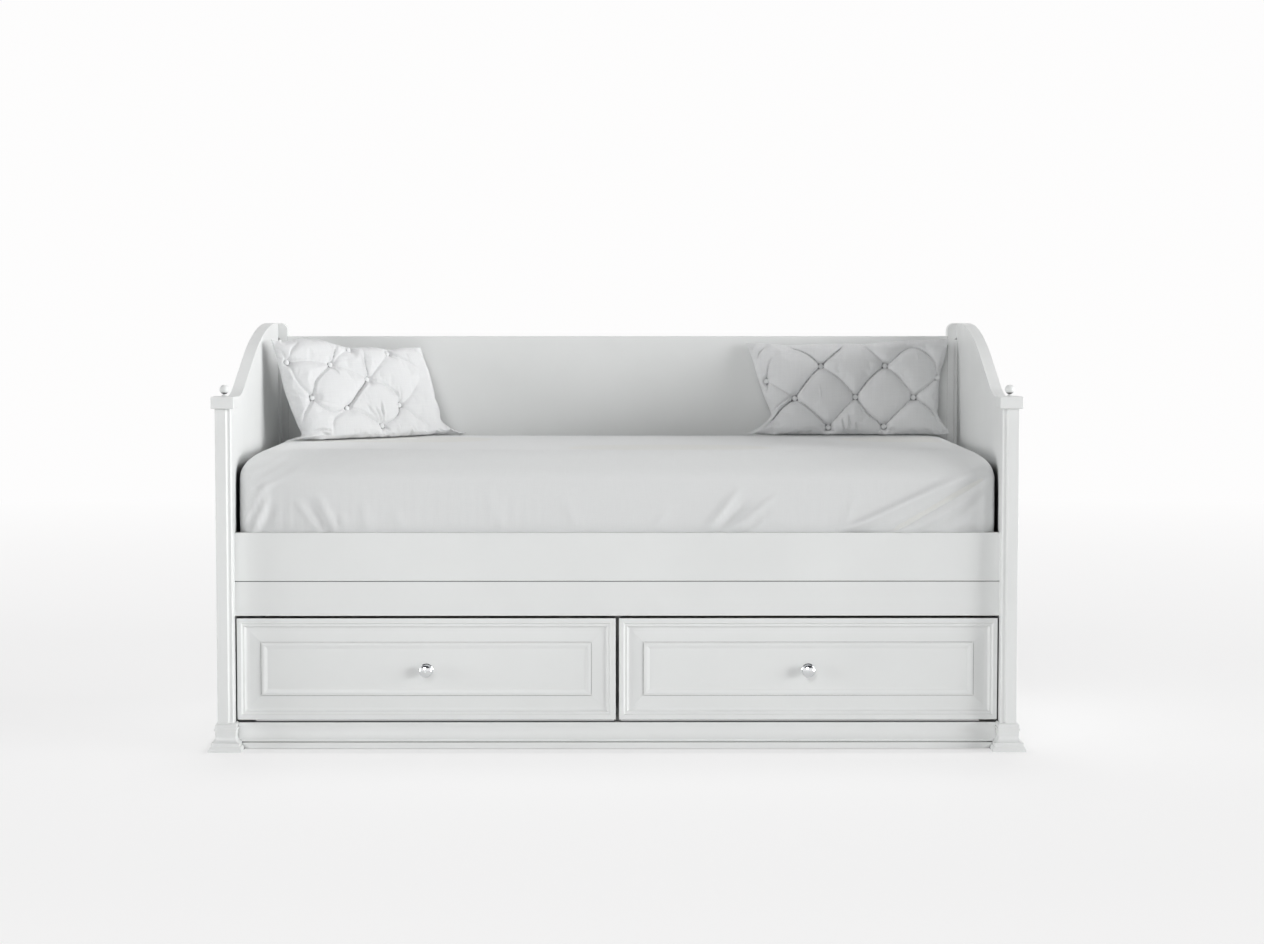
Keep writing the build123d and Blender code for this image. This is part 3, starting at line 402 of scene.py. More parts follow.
def woven_cloth(name, color, deep, threads, sheen, strength, slub=0.25, painted_shade=None):
    """A plain weave of so many threads to the metre on the piece's UV map, with uneven yarns; the last
    argument is the colour of the shade painted into its folds, if they get one."""
    cloth = Finish(name, color, 0.86)
    where = cloth.add("UVMap", {"uv_map": "cloth"}).outputs[0]
    parts = cloth.add("SeparateXYZ", Vector=where)
    turn = math.pi * threads
    wobble = cloth.noise(threads * 0.035, 3.0, where)
    drift = cloth.span(wobble, 0.0, 1.0, -1.2, 1.2)
    fine, coarse = threads * 0.5, threads * 0.02
    waves, yarns = [], []
    for axis, scale in enumerate(((coarse, fine, 1.0), (fine, coarse, 1.0))):
        phase = cloth.math("ADD", cloth.math("MULTIPLY", parts.outputs[axis], turn), drift)
        waves.append(cloth.math("SINE", phase))
        yarn = cloth.add("Mapping", Vector=where, Scale=scale).outputs[0]
        yarns.append(cloth.noise(1.0, 2.0, yarn))
    height = cloth.span(cloth.math("MULTIPLY", *waves), -1.0, 1.0)
    slubs = cloth.math("ADD", *yarns)
    even, uneven = cloth.span(height, 0.0, 1.0, 0.0, 1.0 - slub), cloth.span(slubs, 0.7, 1.3, 0.0, slub)
    tone = cloth.math("ADD", even, uneven)
    weave_color = cloth.blend(tone, (*deep, 1), (*color, 1))
    if painted_shade:
        # Painted shade: the folds' dark colour comes in where the view out of the cloth is closed.
        free = cloth.add("AmbientOcclusion", {"samples": 8}, Distance=FOLD_SHADE_REACH).outputs["AO"]
        shaded_share = cloth.span(free, FOLD_SHADE_OPEN, FOLD_SHADE_SHUT)
        weave_color = cloth.blend(shaded_share, weave_color, (*painted_shade, 1))
    weave = cloth.bump(height, strength, 0.35 / threads)
    return cloth.surface(
        Base_Color=weave_color, Sheen_Weight=sheen, Sheen_Roughness=0.45, Specular_IOR_Level=0.25,
        Normal=cloth.bump(slubs, strength * 0.5, 0.3 / threads, weave),
    )


# %% [markdown]
# Now each wooden, metal and plastic piece of the frame gets its finish, by the slot that
# the record names for it. Grain runs along each bare board, and so across on the slats.

# %% Finishes on the frame
finishes = {
    "painted_wood": painted_wood(),
    "drawer_wood": bare_wood("drawer_wood", (0.80, 0.72, 0.58), (0.70, 0.60, 0.45), 1, 9.0, 0.48),
    "pine": bare_wood("pine", (0.78, 0.62, 0.40), (0.62, 0.44, 0.25), 0, 7.0, 0.60),
    "chrome": chrome(),
    "zinc_steel": zinc_steel(),
    "glide_plastic": glide_plastic(),
    "slats": bare_wood("slat_pine", (0.80, 0.65, 0.43), (0.64, 0.47, 0.28), 1, 8.0, 0.60),
}
slot_of = {part["node"]: part["material_slot"] for part in frame["record"]["subparts"]}
for name, piece in nodes.items():
    finish = finishes.get(name) or finishes.get(slot_of[name])
    if finish:
        piece.data.materials.clear()
        piece.data.materials.append(finish)
print("finished", sum(slot in finishes for slot in slot_of.values()), "pieces of the frame")

# %% [markdown]
# The mattress is a padded block with rounded corners and a crowned top. It is a stack of
# rounded rectangles: each ring has its own height and its own distance in from the side,
# and the last rings shrink until they close on a line. The sheet over it uses the same
# rings, a few millimetres further out, so the two can never cross.

# %% Rings of a rounded rectangle
CORNER_RADIUS = 0.036
CORNER_GROWTH = 0.4
CROWN_REACH = 0.095
CROWN_RISE = 0.075
UNDER_ROUND = 0.02
SIDE_POINTS, END_POINTS, CORNER_POINTS = 200, 80, 22
TOP_RINGS, TURN_RINGS, UNDER_RINGS, TUCK_RINGS = 26, 14, 5, 6
core_low, core_high = corners_of("mattress")
sheet_low, sheet_high = corners_of("fitted_sheet")
bed_middle = (core_low + core_high) / 2


def rounded_rectangle(length, width, radius):
    """Points round a rectangle with round corners, as many on every ring, and their normals."""
    outline, outward = [], []
    half = np.array([length / 2, width / 2]) - radius
    signs = np.array([(1, 1), (-1, 1), (-1, -1), (1, -1)])
    for k in range(4):
        angle = np.linspace(k, k + 1, CORNER_POINTS) * math.pi / 2
        turn = np.column_stack([np.cos(angle), np.sin(angle)])
        count = SIDE_POINTS if k % 2 == 0 else END_POINTS
        share = np.linspace(0, 1, count + 2)[1:-1, None]
        last = signs[k] * half + radius * turn[-1]
        following = signs[(k + 1) % 4] * half + radius * turn[-1]
        outline += [signs[k] * half + radius * turn, last * (1 - share) + following * share]
        outward += [turn, np.repeat(turn[-1:], count, axis=0)]
    return np.concatenate(outline), np.concatenate(outward)


def ring_stack(levels, length, width):
    """Rings at (height, inset) levels, and the same points laid flat: inside the rim a ring keeps its
    place, and past it a ring moves outwards by the cloth's length down the side."""
    rim, outward = rounded_rectangle(length, width, CORNER_RADIUS)
    rings, flat = [], []
    down = 0.0
    before = None
    for height, inset in levels:
        reach = min(inset, width / 2)
        radius = min(CORNER_RADIUS + CORNER_GROWTH * reach, width / 2 - reach)
        outline, _ = rounded_rectangle(length - 2 * reach, width - 2 * reach, radius)
        rings.append(np.column_stack([outline + bed_middle[:2], np.full(len(outline), height)]))
        if before is not None and reach < CROWN_REACH:
            down += math.hypot(height - before[0], reach - before[1])
        before = (height, reach)
        flat.append(outline if reach >= CROWN_REACH else rim + outward * (down - CROWN_REACH))
    return np.array(rings), np.array(flat)


def crowned_levels(low, high, width, tuck, steps):
    """Heights and insets from the middle of the top, over a quarter ellipse, down the side and a
    little way under."""
    top = np.linspace(width / 2, CROWN_REACH, TOP_RINGS)[:-1]
    turn = np.linspace(math.pi / 2, 0, TURN_RINGS)
    side = np.linspace(high - CROWN_RISE, low + UNDER_ROUND, steps)[1:]
    under = np.linspace(0, math.pi / 2, UNDER_RINGS)[1:]
    levels = [(high, inset) for inset in top]
    levels += [(high - CROWN_RISE * (1 - math.sin(t)), CROWN_REACH * (1 - math.cos(t))) for t in turn]
    levels += [(z, 0.0) for z in side]
    levels += [(low + UNDER_ROUND * (1 - math.sin(t)), UNDER_ROUND * (1 - math.cos(t))) for t in under]
    return levels + [(low, inset) for inset in np.linspace(UNDER_ROUND, tuck, TUCK_RINGS)[1:]]


# %% [markdown]
# The mattress core is rarely seen: only its underside shows when it is lifted. It is
# closed below and covered in a cotton ticking.

# %% Mattress core
core_length, core_width, _ = core_high - core_low
core_levels = crowned_levels(core_low[2], core_high[2], core_width, core_width / 2, 12)
core_rings, core_flat = ring_stack(core_levels, core_length, core_width)
core_faces = grid_faces(*core_rings.shape[:2], closed=True)
mattress = mesh_object("mattress_core", core_rings, core_faces, cloth=core_flat)
ticking = woven_cloth("ticking", (0.80, 0.80, 0.78), (0.70, 0.70, 0.68), 900.0, 0.15, 0.5)
mattress.data.materials.append(ticking)
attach(mattress, "mattress")
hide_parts("mattress")
print("mattress core", len(mattress.data.polygons), "faces")

# %% [markdown]
# From above the sheet is smooth, but its front shows how it was pulled on: long soft
# folds run down and inwards from the right corner, finer ones rise from where the cloth
# is tucked behind the board, and a few short ones gather round the left corner. Each
# fold is a ridge along a line on the front face, in millimetres: a bell across it, eased
# in and out along it. A positive height stands out, a negative one is the dip beside it.

# %% Folds in the sheet
SHEET_FOLDS = [
    # x and height of its start, x and height of its end, width, height
    (580, 560, 990, 752, 13, 11),
    (700, 560, 995, 730, 10, -9.5),
    (780, 570, 975, 690, 8, 5.5),
    (840, 572, 960, 655, 12, -4),
    (225, 560, 322, 684, 10, 8.5),
    (255, 560, 350, 660, 9, -5.5),
    (288, 560, 418, 668, 8, 6.5),
    (325, 560, 400, 620, 7, -4),
    (345, 560, 392, 612, 6, 3.5),
    (592, 560, 632, 682, 9, 3.5),
    (85, 560, 140, 640, 10, 3),
    (-962, 560, -920, 664, 8, 7.5),
    (-940, 560, -905, 640, 9, -5),
    (-985, 590, -915, 715, 10, 4.5),
    (-735, 560, -788, 668, 8, 6.5),
    (-760, 560, -815, 660, 8, -4.5),
    (-785, 570, -845, 655, 7, 3.5),
    (-715, 560, -722, 620, 6, 4),
    (-655, 560, -668, 650, 9, 3),
    (-560, 560, -590, 640, 10, 2.2),
    (-955, 700, -845, 760, 6, 3.2),
    (-965, 722, -875, 770, 6, 3.2),
    (-935, 684, -815, 748, 6, 2.6),
    (-300, 560, -345, 690, 14, 2),
    (-95, 560, -150, 680, 12, 2.2),
]
FOLD_SHARE = 1.35
FOLD_START, FOLD_END = (-0.2, 0.15), (0.6, 1.15)
RIPPLE_PITCH = 0.026
RIPPLE_HEIGHT = 0.0015
RIPPLE_REACH = 0.17
BOARD_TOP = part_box("top_front_board")[1][2]


def ridge(points, start, end, width, height):
    """A fold on a face: height times a bell of the distance from its line, eased in and out along it."""
    line = end - start
    along = (points - start) @ line / (line @ line)
    nearest = start + np.clip(along, 0, 1)[:, None] * line
    across = np.linalg.norm(points - nearest, axis=1)
    fade = ease(*FOLD_START, along) * (1 - ease(*FOLD_END, along))
    return height * fade * np.exp(-(across / width) ** 2)


def fold_heights(points):
    """All folds of the front face together, with fine upright ripples over the board."""
    face = points[:, [0, 2]]
    total = np.zeros(len(points))
    for x0, z0, x1, z1, width, height in np.array(SHEET_FOLDS) * MM:
        total += ridge(face, np.array([x0, z0]), np.array([x1, z1]), width, FOLD_SHARE * height)
    x, z = face.T
    phase = 2 * math.pi * x / RIPPLE_PITCH + 2.6 * np.sin(9.0 * x) + 1.4 * np.sin(31.0 * x + 9.0 * z)
    low_down = 1 - ease(BOARD_TOP, BOARD_TOP + RIPPLE_REACH, z)
    uneven = 0.5 + 0.5 * np.sin(6.1 * x + 0.7) * np.sin(2.3 * x - 1.9)
    total += RIPPLE_HEIGHT * low_down * uneven * np.sin(phase)
    return total


# %% [markdown]
# The sheet starts as its stack of rings. Its front swells a little above the board and
# moves out by the height of its folds, its top gets long shallow hollows, and its hem
# under the mattress is gathered by the elastic.

# %% Fitted sheet
SHEET_TUCK = 0.075
FRONT_FULLNESS = 0.006
HEM_DROP = 0.0016
TOP_SLACK = 0.0016
HEM_GATHER = 0.0006
FOLD_LIFT = 0.35
FACE_DEPTH = np.array([0.02, 0.10])
BOARD_EDGE = np.array([-0.02, 0.03])
SWELL_START = BOARD_TOP + 0.06
TOP_SKIN = 0.004
sheet_length, sheet_width, sheet_height = sheet_high - sheet_low
sheet_levels = crowned_levels(sheet_low[2] - HEM_DROP, sheet_high[2], sheet_width, SHEET_TUCK, 64)
sheet_rings, sheet_flat = ring_stack(sheet_levels, sheet_length, sheet_width)
ring_count, point_count = sheet_rings.shape[:2]
points = sheet_rings.reshape(-1, 3)
facing = 1 - ease(*(sheet_low[1] + FACE_DEPTH), points[:, 1])
above_board = ease(*(BOARD_TOP + BOARD_EDGE), points[:, 2])
swell = FRONT_FULLNESS * above_board * (1 - ease(SWELL_START, sheet_high[2], points[:, 2]))
lift = facing * above_board * fold_heights(points)
points[:, 1] -= lift + facing * swell
points[:, 2] += FOLD_LIFT * lift
slack = TOP_SLACK * np.sin(4.1 * points[:, 0] + 1.0) * np.sin(7.3 * points[:, 1] + 0.4)
on_top = ease(sheet_high[2] - TOP_SKIN, sheet_high[2], points[:, 2])
points[:, 2] += on_top * (slack - TOP_SLACK)
tucked = np.array([inset if height < sheet_low[2] else 0 for height, inset in sheet_levels])
hem = ease(UNDER_ROUND, SHEET_TUCK, np.repeat(tucked, point_count))
gather = np.tile(np.sin(np.arange(point_count) * 1.3) + np.sin(np.arange(point_count) * 0.41), ring_count)
points[:, 2] -= HEM_GATHER * hem * (1 + 0.5 * gather)
sheet_faces = grid_faces(ring_count, point_count, closed=True)
sheet = mesh_object("fitted_cotton_sheet", points, sheet_faces, cloth=sheet_flat)
sheet.data.materials.append(
    woven_cloth("sheet_cotton", (0.775, 0.782, 0.782), (0.692, 0.70, 0.702), 1100.0, 0.25, 0.35)
)
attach(sheet, "mattress")
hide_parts("fitted_sheet")

# %% [markdown]
# The pillows are the hardest soft forms. Each is a crowned cushion whose face is pulled
# in by buttons, and whose cloth folds from button to button. On a new pillow the folds
# make a regular net, but these two have been leant and pushed about, and no two of their
# folds are alike. So each pillow has its own list, in millimetres on its flat face: four
# edge lines, the buttons, and the folds with how hard each holds the filling back, how
# deep its crease is, and how high the lip of cloth beside it stands. How it lies is told
# by yaw and tilt, in degrees, and its gap in metres to the bed's end.

# %% Pillow lines
RIGHT_FOLDS = [
    # share of the swell held back, depth of the crease, lip beside it, and its places,
    # where a bare number is the button of that number, counted from 0
    (1.0, 4.5, 2.5, 0, (-123, 84), (-172, 105), (-205, 113)),
    (1.0, 5.0, 3.0, 0, (-42, 86), (-5, 116)),
    (0.9, 2.0, 0.0, 1, (62, 97), (26, 116)),
    (1.0, 3.0, 0.0, 1, (122, 58), (156, 90), (188, 105), (224, 92), (250, 58), 6),
    (1.0, 5.0, 2.5, 0, (-118, 8), 2),
    (0.9, 3.0, 0.0, 0, (-29, 8), 3),
    (1.0, 5.0, 2.5, 1, (60, 8), 3),
    (0.9, 3.5, 2.0, 1, (146, 12), 4),
    (1.0, 4.0, -2.0, 2, (-112, -86), 7),
    (0.9, 3.0, 0.0, 3, (-20, -86), 7),
    (1.0, 5.0, 3.0, 3, (54, -96), 8),
    (0.3, 2.5, -1.5, (19, -50), (32, -76), (39, -104)),
    (0.9, 3.5, 0.0, 4, (149, -83), 8),
    (0.9, 3.5, 2.0, 4, (231, -10), 6),
    (0.9, 3.5, 2.5, 4, (234, -79), (270, -132)),
    (1.0, 7.0, 0.0, 2, (-196, -76), (-221, -106), (-254, -140)),
    (0.4, 4.0, 0.0, (-166, -40), (-216, -76), (-246, -118)),
    (0.8, 3.0, 1.5, 5, (-236, 50), (-222, 76)),
    (0.8, 3.0, 1.5, 5, (-238, -15), (-244, -36)),
    (0.6, 2.0, 0.0, 2, (-200, -22), 5),
    (0.5, 4.0, 3.0, (-240, 116), (-262, 86), (-268, 62)),
    (0.3, 4.0, 3.0, (-270, 120), (-286, 92)),
    (0.7, 3.0, 1.5, 6, (266, -24), (258, -72)),
    (0.5, 3.0, 0.0, 7, (-76, -149)),
    (0.5, 3.0, 0.0, 7, (-40, -148)),
    (0.5, 3.0, 0.0, 8, (78, -150)),
    (0.5, 3.0, 0.0, 8, (134, -150)),
    (0.2, 3.5, -3.0, (-5, -96), (2, -143)),
    (0.2, 3.0, -3.0, (-23, -108), (-13, -147)),
    (0.2, 2.5, -2.0, (17, -118), (24, -147)),
    (0.0, -1.6, 0.0, (-90, -6), (-84, -61)),
    (0.0, -1.6, 0.0, (197, 92), (205, 50)),
    (0.3, 3.0, 2.0, (268, -128), (271, -150)),
    (0.0, 2.5, 2.0, (-252, -128), (-262, -142)),
]
LEFT_FOLDS = [
    (0.9, 2.4, 1.2, 0, (-235, 71), 1),
    (0.8, 2.2, 0.0, 0, (-275, 7), 3),
    (0.9, 3.0, 2.0, 1, (-222, 14), 3),
    (0.8, 2.2, 0.0, 1, (-100, 37), 2),
    (0.3, 1.8, 0.0, (-157, 62), (-122, 71), (-76, 69)),
    (0.6, 4.0, 3.0, 1, (-146, 87), (-123, 118)),
    (0.6, 2.2, 0.0, 1, (-120, 88), 8),
    (1.0, 5.5, 4.0, 2, (-88, -28), 4),
    (0.6, 4.5, 4.0, 2, (-46, 50), (-37, 96)),
    (0.7, 2.0, 0.0, 2, (4, 50), 7),
    (0.8, 2.2, 1.2, 2, (7, -9), (45, -39), 5),
    (0.3, 1.6, 0.0, 2, (19, 23)),
    (0.9, 3.0, 1.6, 4, (-188, -78), (-224, -60), 3),
    (0.3, 1.8, 0.0, (-236, -41), (-198, -56), (-147, -67)),
    (0.9, 3.0, 1.6, 4, (-86, -88), (-54, -106), 6),
    (0.8, 3.0, 0.0, 4, (-183, -102), (-192, -140)),
    (0.8, 3.0, 1.6, 3, (-268, -80), (-277, -116)),
    (0.3, 4.0, -3.0, (-17, -118), (-22, -89), (-24, -52)),
    (0.3, 3.5, -2.5, (-26, -114), (-47, -70)),
    (0.3, 3.0, -2.0, (-34, -115), (-79, -58)),
    (0.9, 4.0, 2.5, 6, (32, -104), 5),
    (0.4, 3.0, 2.0, 5, (57, -37), (53, -6)),
    (0.7, 2.0, 0.0, 5, (95, -43), (135, -1)),
    (0.7, 2.0, 0.0, 5, (100, -101), (135, -128)),
    (0.6, 2.4, 1.5, 7, (103, 70), (144, 46)),
    (0.4, 3.0, 2.0, (118, 106), (158, 100), (188, 62)),
    (0.6, 2.4, 0.0, 0, (-313, 111)),
    (0.4, 2.4, 0.0, (-293, 78), (-279, 107), (-251, 130)),
    (0.5, 3.5, 2.5, (-265, -136), (-232, -131), (-195, -138)),
    (0.4, 3.5, 2.5, (-234, -133), (-218, -143), (-202, -149)),
    (0.4, 4.0, 2.5, (-267, -125), (-284, -142)),
    (0.4, 3.5, 2.0, 6, (-26, -146)),
    (0.4, 3.5, 2.0, 6, (4, -146)),
    (0.0, 2.5, 2.0, (70, -140), (85, -123)),
    (0.0, 2.5, 2.0, (38, -142), (36, -124)),
    (0.3, 3.0, 2.0, (-165, 52), (-149, 21)),
    (0.3, 2.4, 0.0, 3, (-266, -28)),
    (0.3, 2.4, 0.0, (-239, -38), (-262, -48)),
    (0.2, 4.0, 3.0, (254, -112), (268, -138)),
    (0.2, 4.0, 3.0, (266, -122), (284, -142)),
]
PILLOW_LINES = {
    "right": {
        "yaw": 0, "tilt": 13, "gap": 0.0, "folds": RIGHT_FOLDS,
        "left": [(-301, -148), (-274, -135), (-248, -117), (-230, -96), (-232, -76), (-251, -30),
                 (-267, 21), (-283, 79), (-300, 124)],
        "right": [(292, -148), (290, -136), (276, -118), (262, -88), (264, -60), (270, 27), (284, 72),
                  (299, 137)],
        "bottom": [(-301, -148), (-255, -150), (-215, -159), (-111, -163), (58, -164), (170, -162),
                   (250, -157), (292, -148)],
        "top": [(-300, 124), (-255, 124), (-178, 118), (-85, 121), (4, 122), (60, 121), (120, 129),
                (200, 132), (299, 137)],
        "buttons": [(-83, 47), (105, 48), (-160, -49), (17, -46), (187, -46), (-241, 6), (262, 17),
                    (-63, -134), (100, -131)],
    },
    "left": {
        "yaw": 42, "tilt": 15, "gap": 0.026, "folds": LEFT_FOLDS,
        "left": [(-336, -150), (-302, -145), (-272, -134), (-281, -98), (-294, -49), (-305, 3), (-311, 60),
                 (-326, 144)],
        "right": [(318, -150), (260, -138), (226, -116), (224, -82), (215, -12), (206, 62), (199, 113)],
        "bottom": [(-336, -150), (-280, -152), (-196, -160), (-117, -162), (3, -163), (104, -161),
                   (208, -156), (318, -150)],
        "top": [(-326, 144), (-295, 136), (-265, 139), (-235, 144), (-171, 140), (-114, 126), (-64, 116),
                (16, 116), (72, 108), (120, 113), (199, 113)],
        "buttons": [(-294, 72), (-161, 58), (-43, 11), (-239, -36), (-130, -71), (55, -68), (-17, -126),
                    (59, 90), (-76, 105)],
    },
}
print({side: len(lines["folds"]) for side, lines in PILLOW_LINES.items()}, "folds")

# %% [markdown]
# A line through a few places becomes a soft curve, and four such curves span the flat
# face of a pillow. The face is a grid, so any place on it is a share across and a share
# up, and the edges decide where that lies.


# %% Lines on a face
def smooth_line(places, step=0.003):
    """A soft line through given points, a Catmull-Rom curve, as an array about a step apart."""
    points = np.asarray(places, float) * MM
    ends = np.concatenate([2 * points[:1] - points[1:2], points, 2 * points[-1:] - points[-2:-1]])
    pieces = []
    for before, start, end, after in zip(ends, ends[1:], ends[2:], ends[3:]):
        t = np.linspace(0, 1, max(2, int(np.linalg.norm(end - start) / step)), endpoint=False)[:, None]
        bend = 2 * before - 5 * start + 4 * end - after
        twist = 3 * start - before - 3 * end + after
        pieces.append(start + 0.5 * ((end - before) * t + bend * t ** 2 + twist * t ** 3))
    return np.concatenate(pieces + [points[-1:]])


def fold_line(lines, places):
    """The line of a fold, whose places may be numbers of buttons."""
    return smooth_line([lines["buttons"][place] if isinstance(place, int) else place for place in places])


def along_line(line, share):
    """Places at shares of a line's length."""
    length = np.concatenate([[0], np.cumsum(np.linalg.norm(np.diff(line, axis=0), axis=1))])
    return np.stack([np.interp(share, length / length[-1], line[:, axis]) for axis in (0, 1)], axis=-1)


def face_plane(lines, across, up):
    """Flat places inside four edge lines, a Coons patch: the blend of left and right, plus the blend of
    bottom and top, less the blend of the four corners."""
    left, right = (along_line(smooth_line(lines[edge]), up[:, 0])[:, None] for edge in ("left", "right"))
    low, high = (along_line(smooth_line(lines[edge]), across[0])[None] for edge in ("bottom", "top"))
    s, t = across[..., None], up[..., None]
    sides = (1 - s) * left + s * right
    ends = (1 - t) * low + t * high
    low_corners, high_corners = ((1 - s) * left[k] + s * right[k] for k in (0, -1))
    corners = (1 - t) * low_corners + t * high_corners
    return sides + ends - corners


def near_line(plane, line):
    """For each place its distance from a line, the side on which it lies, and the nearest share of it."""
    gap = plane[:, None] - line[None]
    away = (gap ** 2).sum(axis=-1)
    nearest = away.argmin(axis=1)
    course = np.gradient(line, axis=0)
    course /= np.linalg.norm(course, axis=1, keepdims=True)
    offset = plane - line[nearest]
    side = course[nearest, 0] * offset[:, 1] - course[nearest, 1] * offset[:, 0]
    return np.sqrt(away.min(axis=1)), side, nearest / (len(line) - 1)


# %% [markdown]
# The face then gets its height, in two parts. Broad: the filling swells with the distance
# from the nearest fold, and every button draws a pit. Fine: a crease cuts in along each
# fold, with a lip beside it where the cloth lies double, and both fade out at an end
# that meets no button. The cloth under a button is smooth, and drawn in round its rim.

# %% Pillow form
COLUMNS, ROWS = 261, 131
BASE_DEPTH = 0.047
SWELL_DEPTH = 0.012
SWELL_REACH = 0.017
BACK_DEPTH = 0.056
CREASE_WIDTH = 0.0023
CREASE_SHARE = 1.35
LIP_PLACE, LIP_WIDTH = 0.006, 0.0045
PIT_DEPTH, PIT_REACH, PIT_POWER = 0.012, 0.015, 1.9
BUTTON_REACH = 0.016
BUTTON_COVER, BUTTON_CLEAR = 0.003, 0.011
RING_PLACE, RING_WIDTH, RING_DEPTH = 0.0090, 0.0024, 0.0050
GATHER_HEIGHT, GATHER_REACH, GATHER_CLEAR = 0.0026, 0.045, 0.012
GATHER_SHARE = 0.4
RIM_PACKING = (1.15, 1.25)
CROWN_POWERS = (3.4, 2.6)


def button_distance(plane, lines):
    """How far each place is from the nearest button."""
    return np.linalg.norm(plane[:, None] - np.array(lines["buttons"]) * MM, axis=-1).min(axis=1)


def fold_strength(line, share, lines):
    """1 along a fold, eased to 0 towards an end that has no button near it."""
    strength = np.ones_like(share)
    for end, fade in ((0, ease(0, 0.35, share)), (-1, 1 - ease(0.6, 1.0, share))):
        if button_distance(line[end][None], lines)[0] > BUTTON_REACH:
            strength *= fade
    return strength


def face_relief(plane, lines):
    """The broad height, swell times how free a place is of folds less the pits, and the fine height:
    lip times a bell beside each fold, less the deepest crease, which is a bell of the distance from
    its fold. Under a button that is left out, and a ring is drawn in round its rim."""
    held = np.zeros(len(plane))
    fine, deepest, raised = np.zeros((3, len(plane)))
    for pull, crease, lip, *places in lines["folds"]:
        line = fold_line(lines, places)
        away, side, share = near_line(plane, line)
        strength = fold_strength(line, share, lines)
        held = np.maximum(held, pull * (0.35 + 0.65 * strength) * np.exp(-away / SWELL_REACH))
        cut = strength * CREASE_SHARE * crease * MM * np.exp(-(away / CREASE_WIDTH) ** 2)
        deepest, raised = np.maximum(deepest, cut), np.maximum(raised, -cut)
        past_end = np.maximum(away - np.abs(side), 0) / LIP_WIDTH
        beside = np.exp(-((side - np.sign(lip) * LIP_PLACE) / LIP_WIDTH) ** 2 - past_end ** 2)
        fine += strength * abs(lip) * MM * beside
    away = button_distance(plane, lines)
    broad = SWELL_DEPTH * (1 - held) - PIT_DEPTH * np.exp(-(away / PIT_REACH) ** PIT_POWER)
    ring = RING_DEPTH * np.exp(-((away - RING_PLACE) / RING_WIDTH) ** 2)
    return broad, (fine + raised - deepest) * ease(BUTTON_COVER, BUTTON_CLEAR, away) - ring


def corner_gathers(plane, seed):
    """Ripples that fan out of each corner: cosines of the angle round it, fading with the distance."""
    random = np.random.default_rng(seed)
    relief = np.zeros(plane.shape[:2])
    for row, column in ((0, 0), (0, -1), (-1, 0), (-1, -1)):
        x, z = np.moveaxis(plane - plane[row, column], -1, 0)
        away, angle = np.hypot(x, z), np.arctan2(z, x)
        wave = np.cos(9 * angle + random.uniform(0, 6)) + 0.6 * np.cos(15 * angle + random.uniform(0, 6))
        fade = 1 - np.exp(-(away / GATHER_CLEAR) ** 2)
        relief += GATHER_HEIGHT * wave * np.exp(-away / GATHER_REACH) * fade
    return relief


def pillow_faces(lines, rows, columns, seed, creased=True):
    """Front and back of a pillow as grids of points that share their rim, closer together near it.
    Their crown is (1 - |u|^3.4)(1 - |v|^2.6) to the power 0.55: steep at the rim and flat inside."""
    even = np.meshgrid(np.linspace(-1, 1, columns), np.linspace(-1, 1, rows))
    u, v = (np.sign(w) * (1 - (1 - np.abs(w)) ** power) for w, power in zip(even, RIM_PACKING))
    plane = face_plane(lines, (1 + u) / 2, (1 + v) / 2)
    across, up = (1 - np.abs(w) ** power for w, power in zip((u, v), CROWN_POWERS))
    crown = (across * up) ** 0.55
    broad, fine = (part.reshape(crown.shape) for part in face_relief(plane.reshape(-1, 2), lines))
    firm = ease(0.0, 0.5, crown)
    small = fine + GATHER_SHARE * corner_gathers(plane, seed) if creased else 0
    depth = BASE_DEPTH * crown + firm * (broad + small)
    front = np.stack([plane[..., 0], -np.maximum(depth, 0.004 * crown), plane[..., 1]], axis=-1)
    rear = BACK_DEPTH * crown + firm * corner_gathers(plane, seed + 1)
    return front, np.stack([plane[..., 0], rear, plane[..., 1]], axis=-1)


# %% [markdown]
# What the formula can't give is the small puckering of real cloth, so the front is blown
# up a little as cloth. It is cut slightly too large and held at the rim, at the buttons
# and, less firmly, along the folds, and the pressure of the filling lets the spare cloth
# wrinkle where it may. That runs on a coarser copy of the face. Only how far each point
# moved is kept, never more than a few millimetres, and added to the fine face.

# %% Cloth simulation
CLOTH_FRAMES = 20
CLOTH_CAP = 0.009
CLOTH_SHARE = 0.8
SPARE_CLOTH = 0.018
FOLD_HOLD = 0.8
FIRM_FOLD = 0.6
BUTTON_GRIP = 0.007
FOLD_GRIP = 0.004


def hold_weights(plane, lines, shape):
    """How firmly each point is held: 1 at the rim and the buttons, less along the stronger folds."""
    hold = np.zeros(shape)
    hold[[0, -1]] = 1
    hold[:, [0, -1]] = 1
    hold = hold.ravel()
    hold[button_distance(plane, lines) < BUTTON_GRIP] = 1
    for pull, _, _, *places in lines["folds"]:
        if pull >= FIRM_FOLD:
            away, _, _ = near_line(plane, fold_line(lines, places))
            hold = np.maximum(hold, FOLD_HOLD * pull * (away < FOLD_GRIP))
    return hold


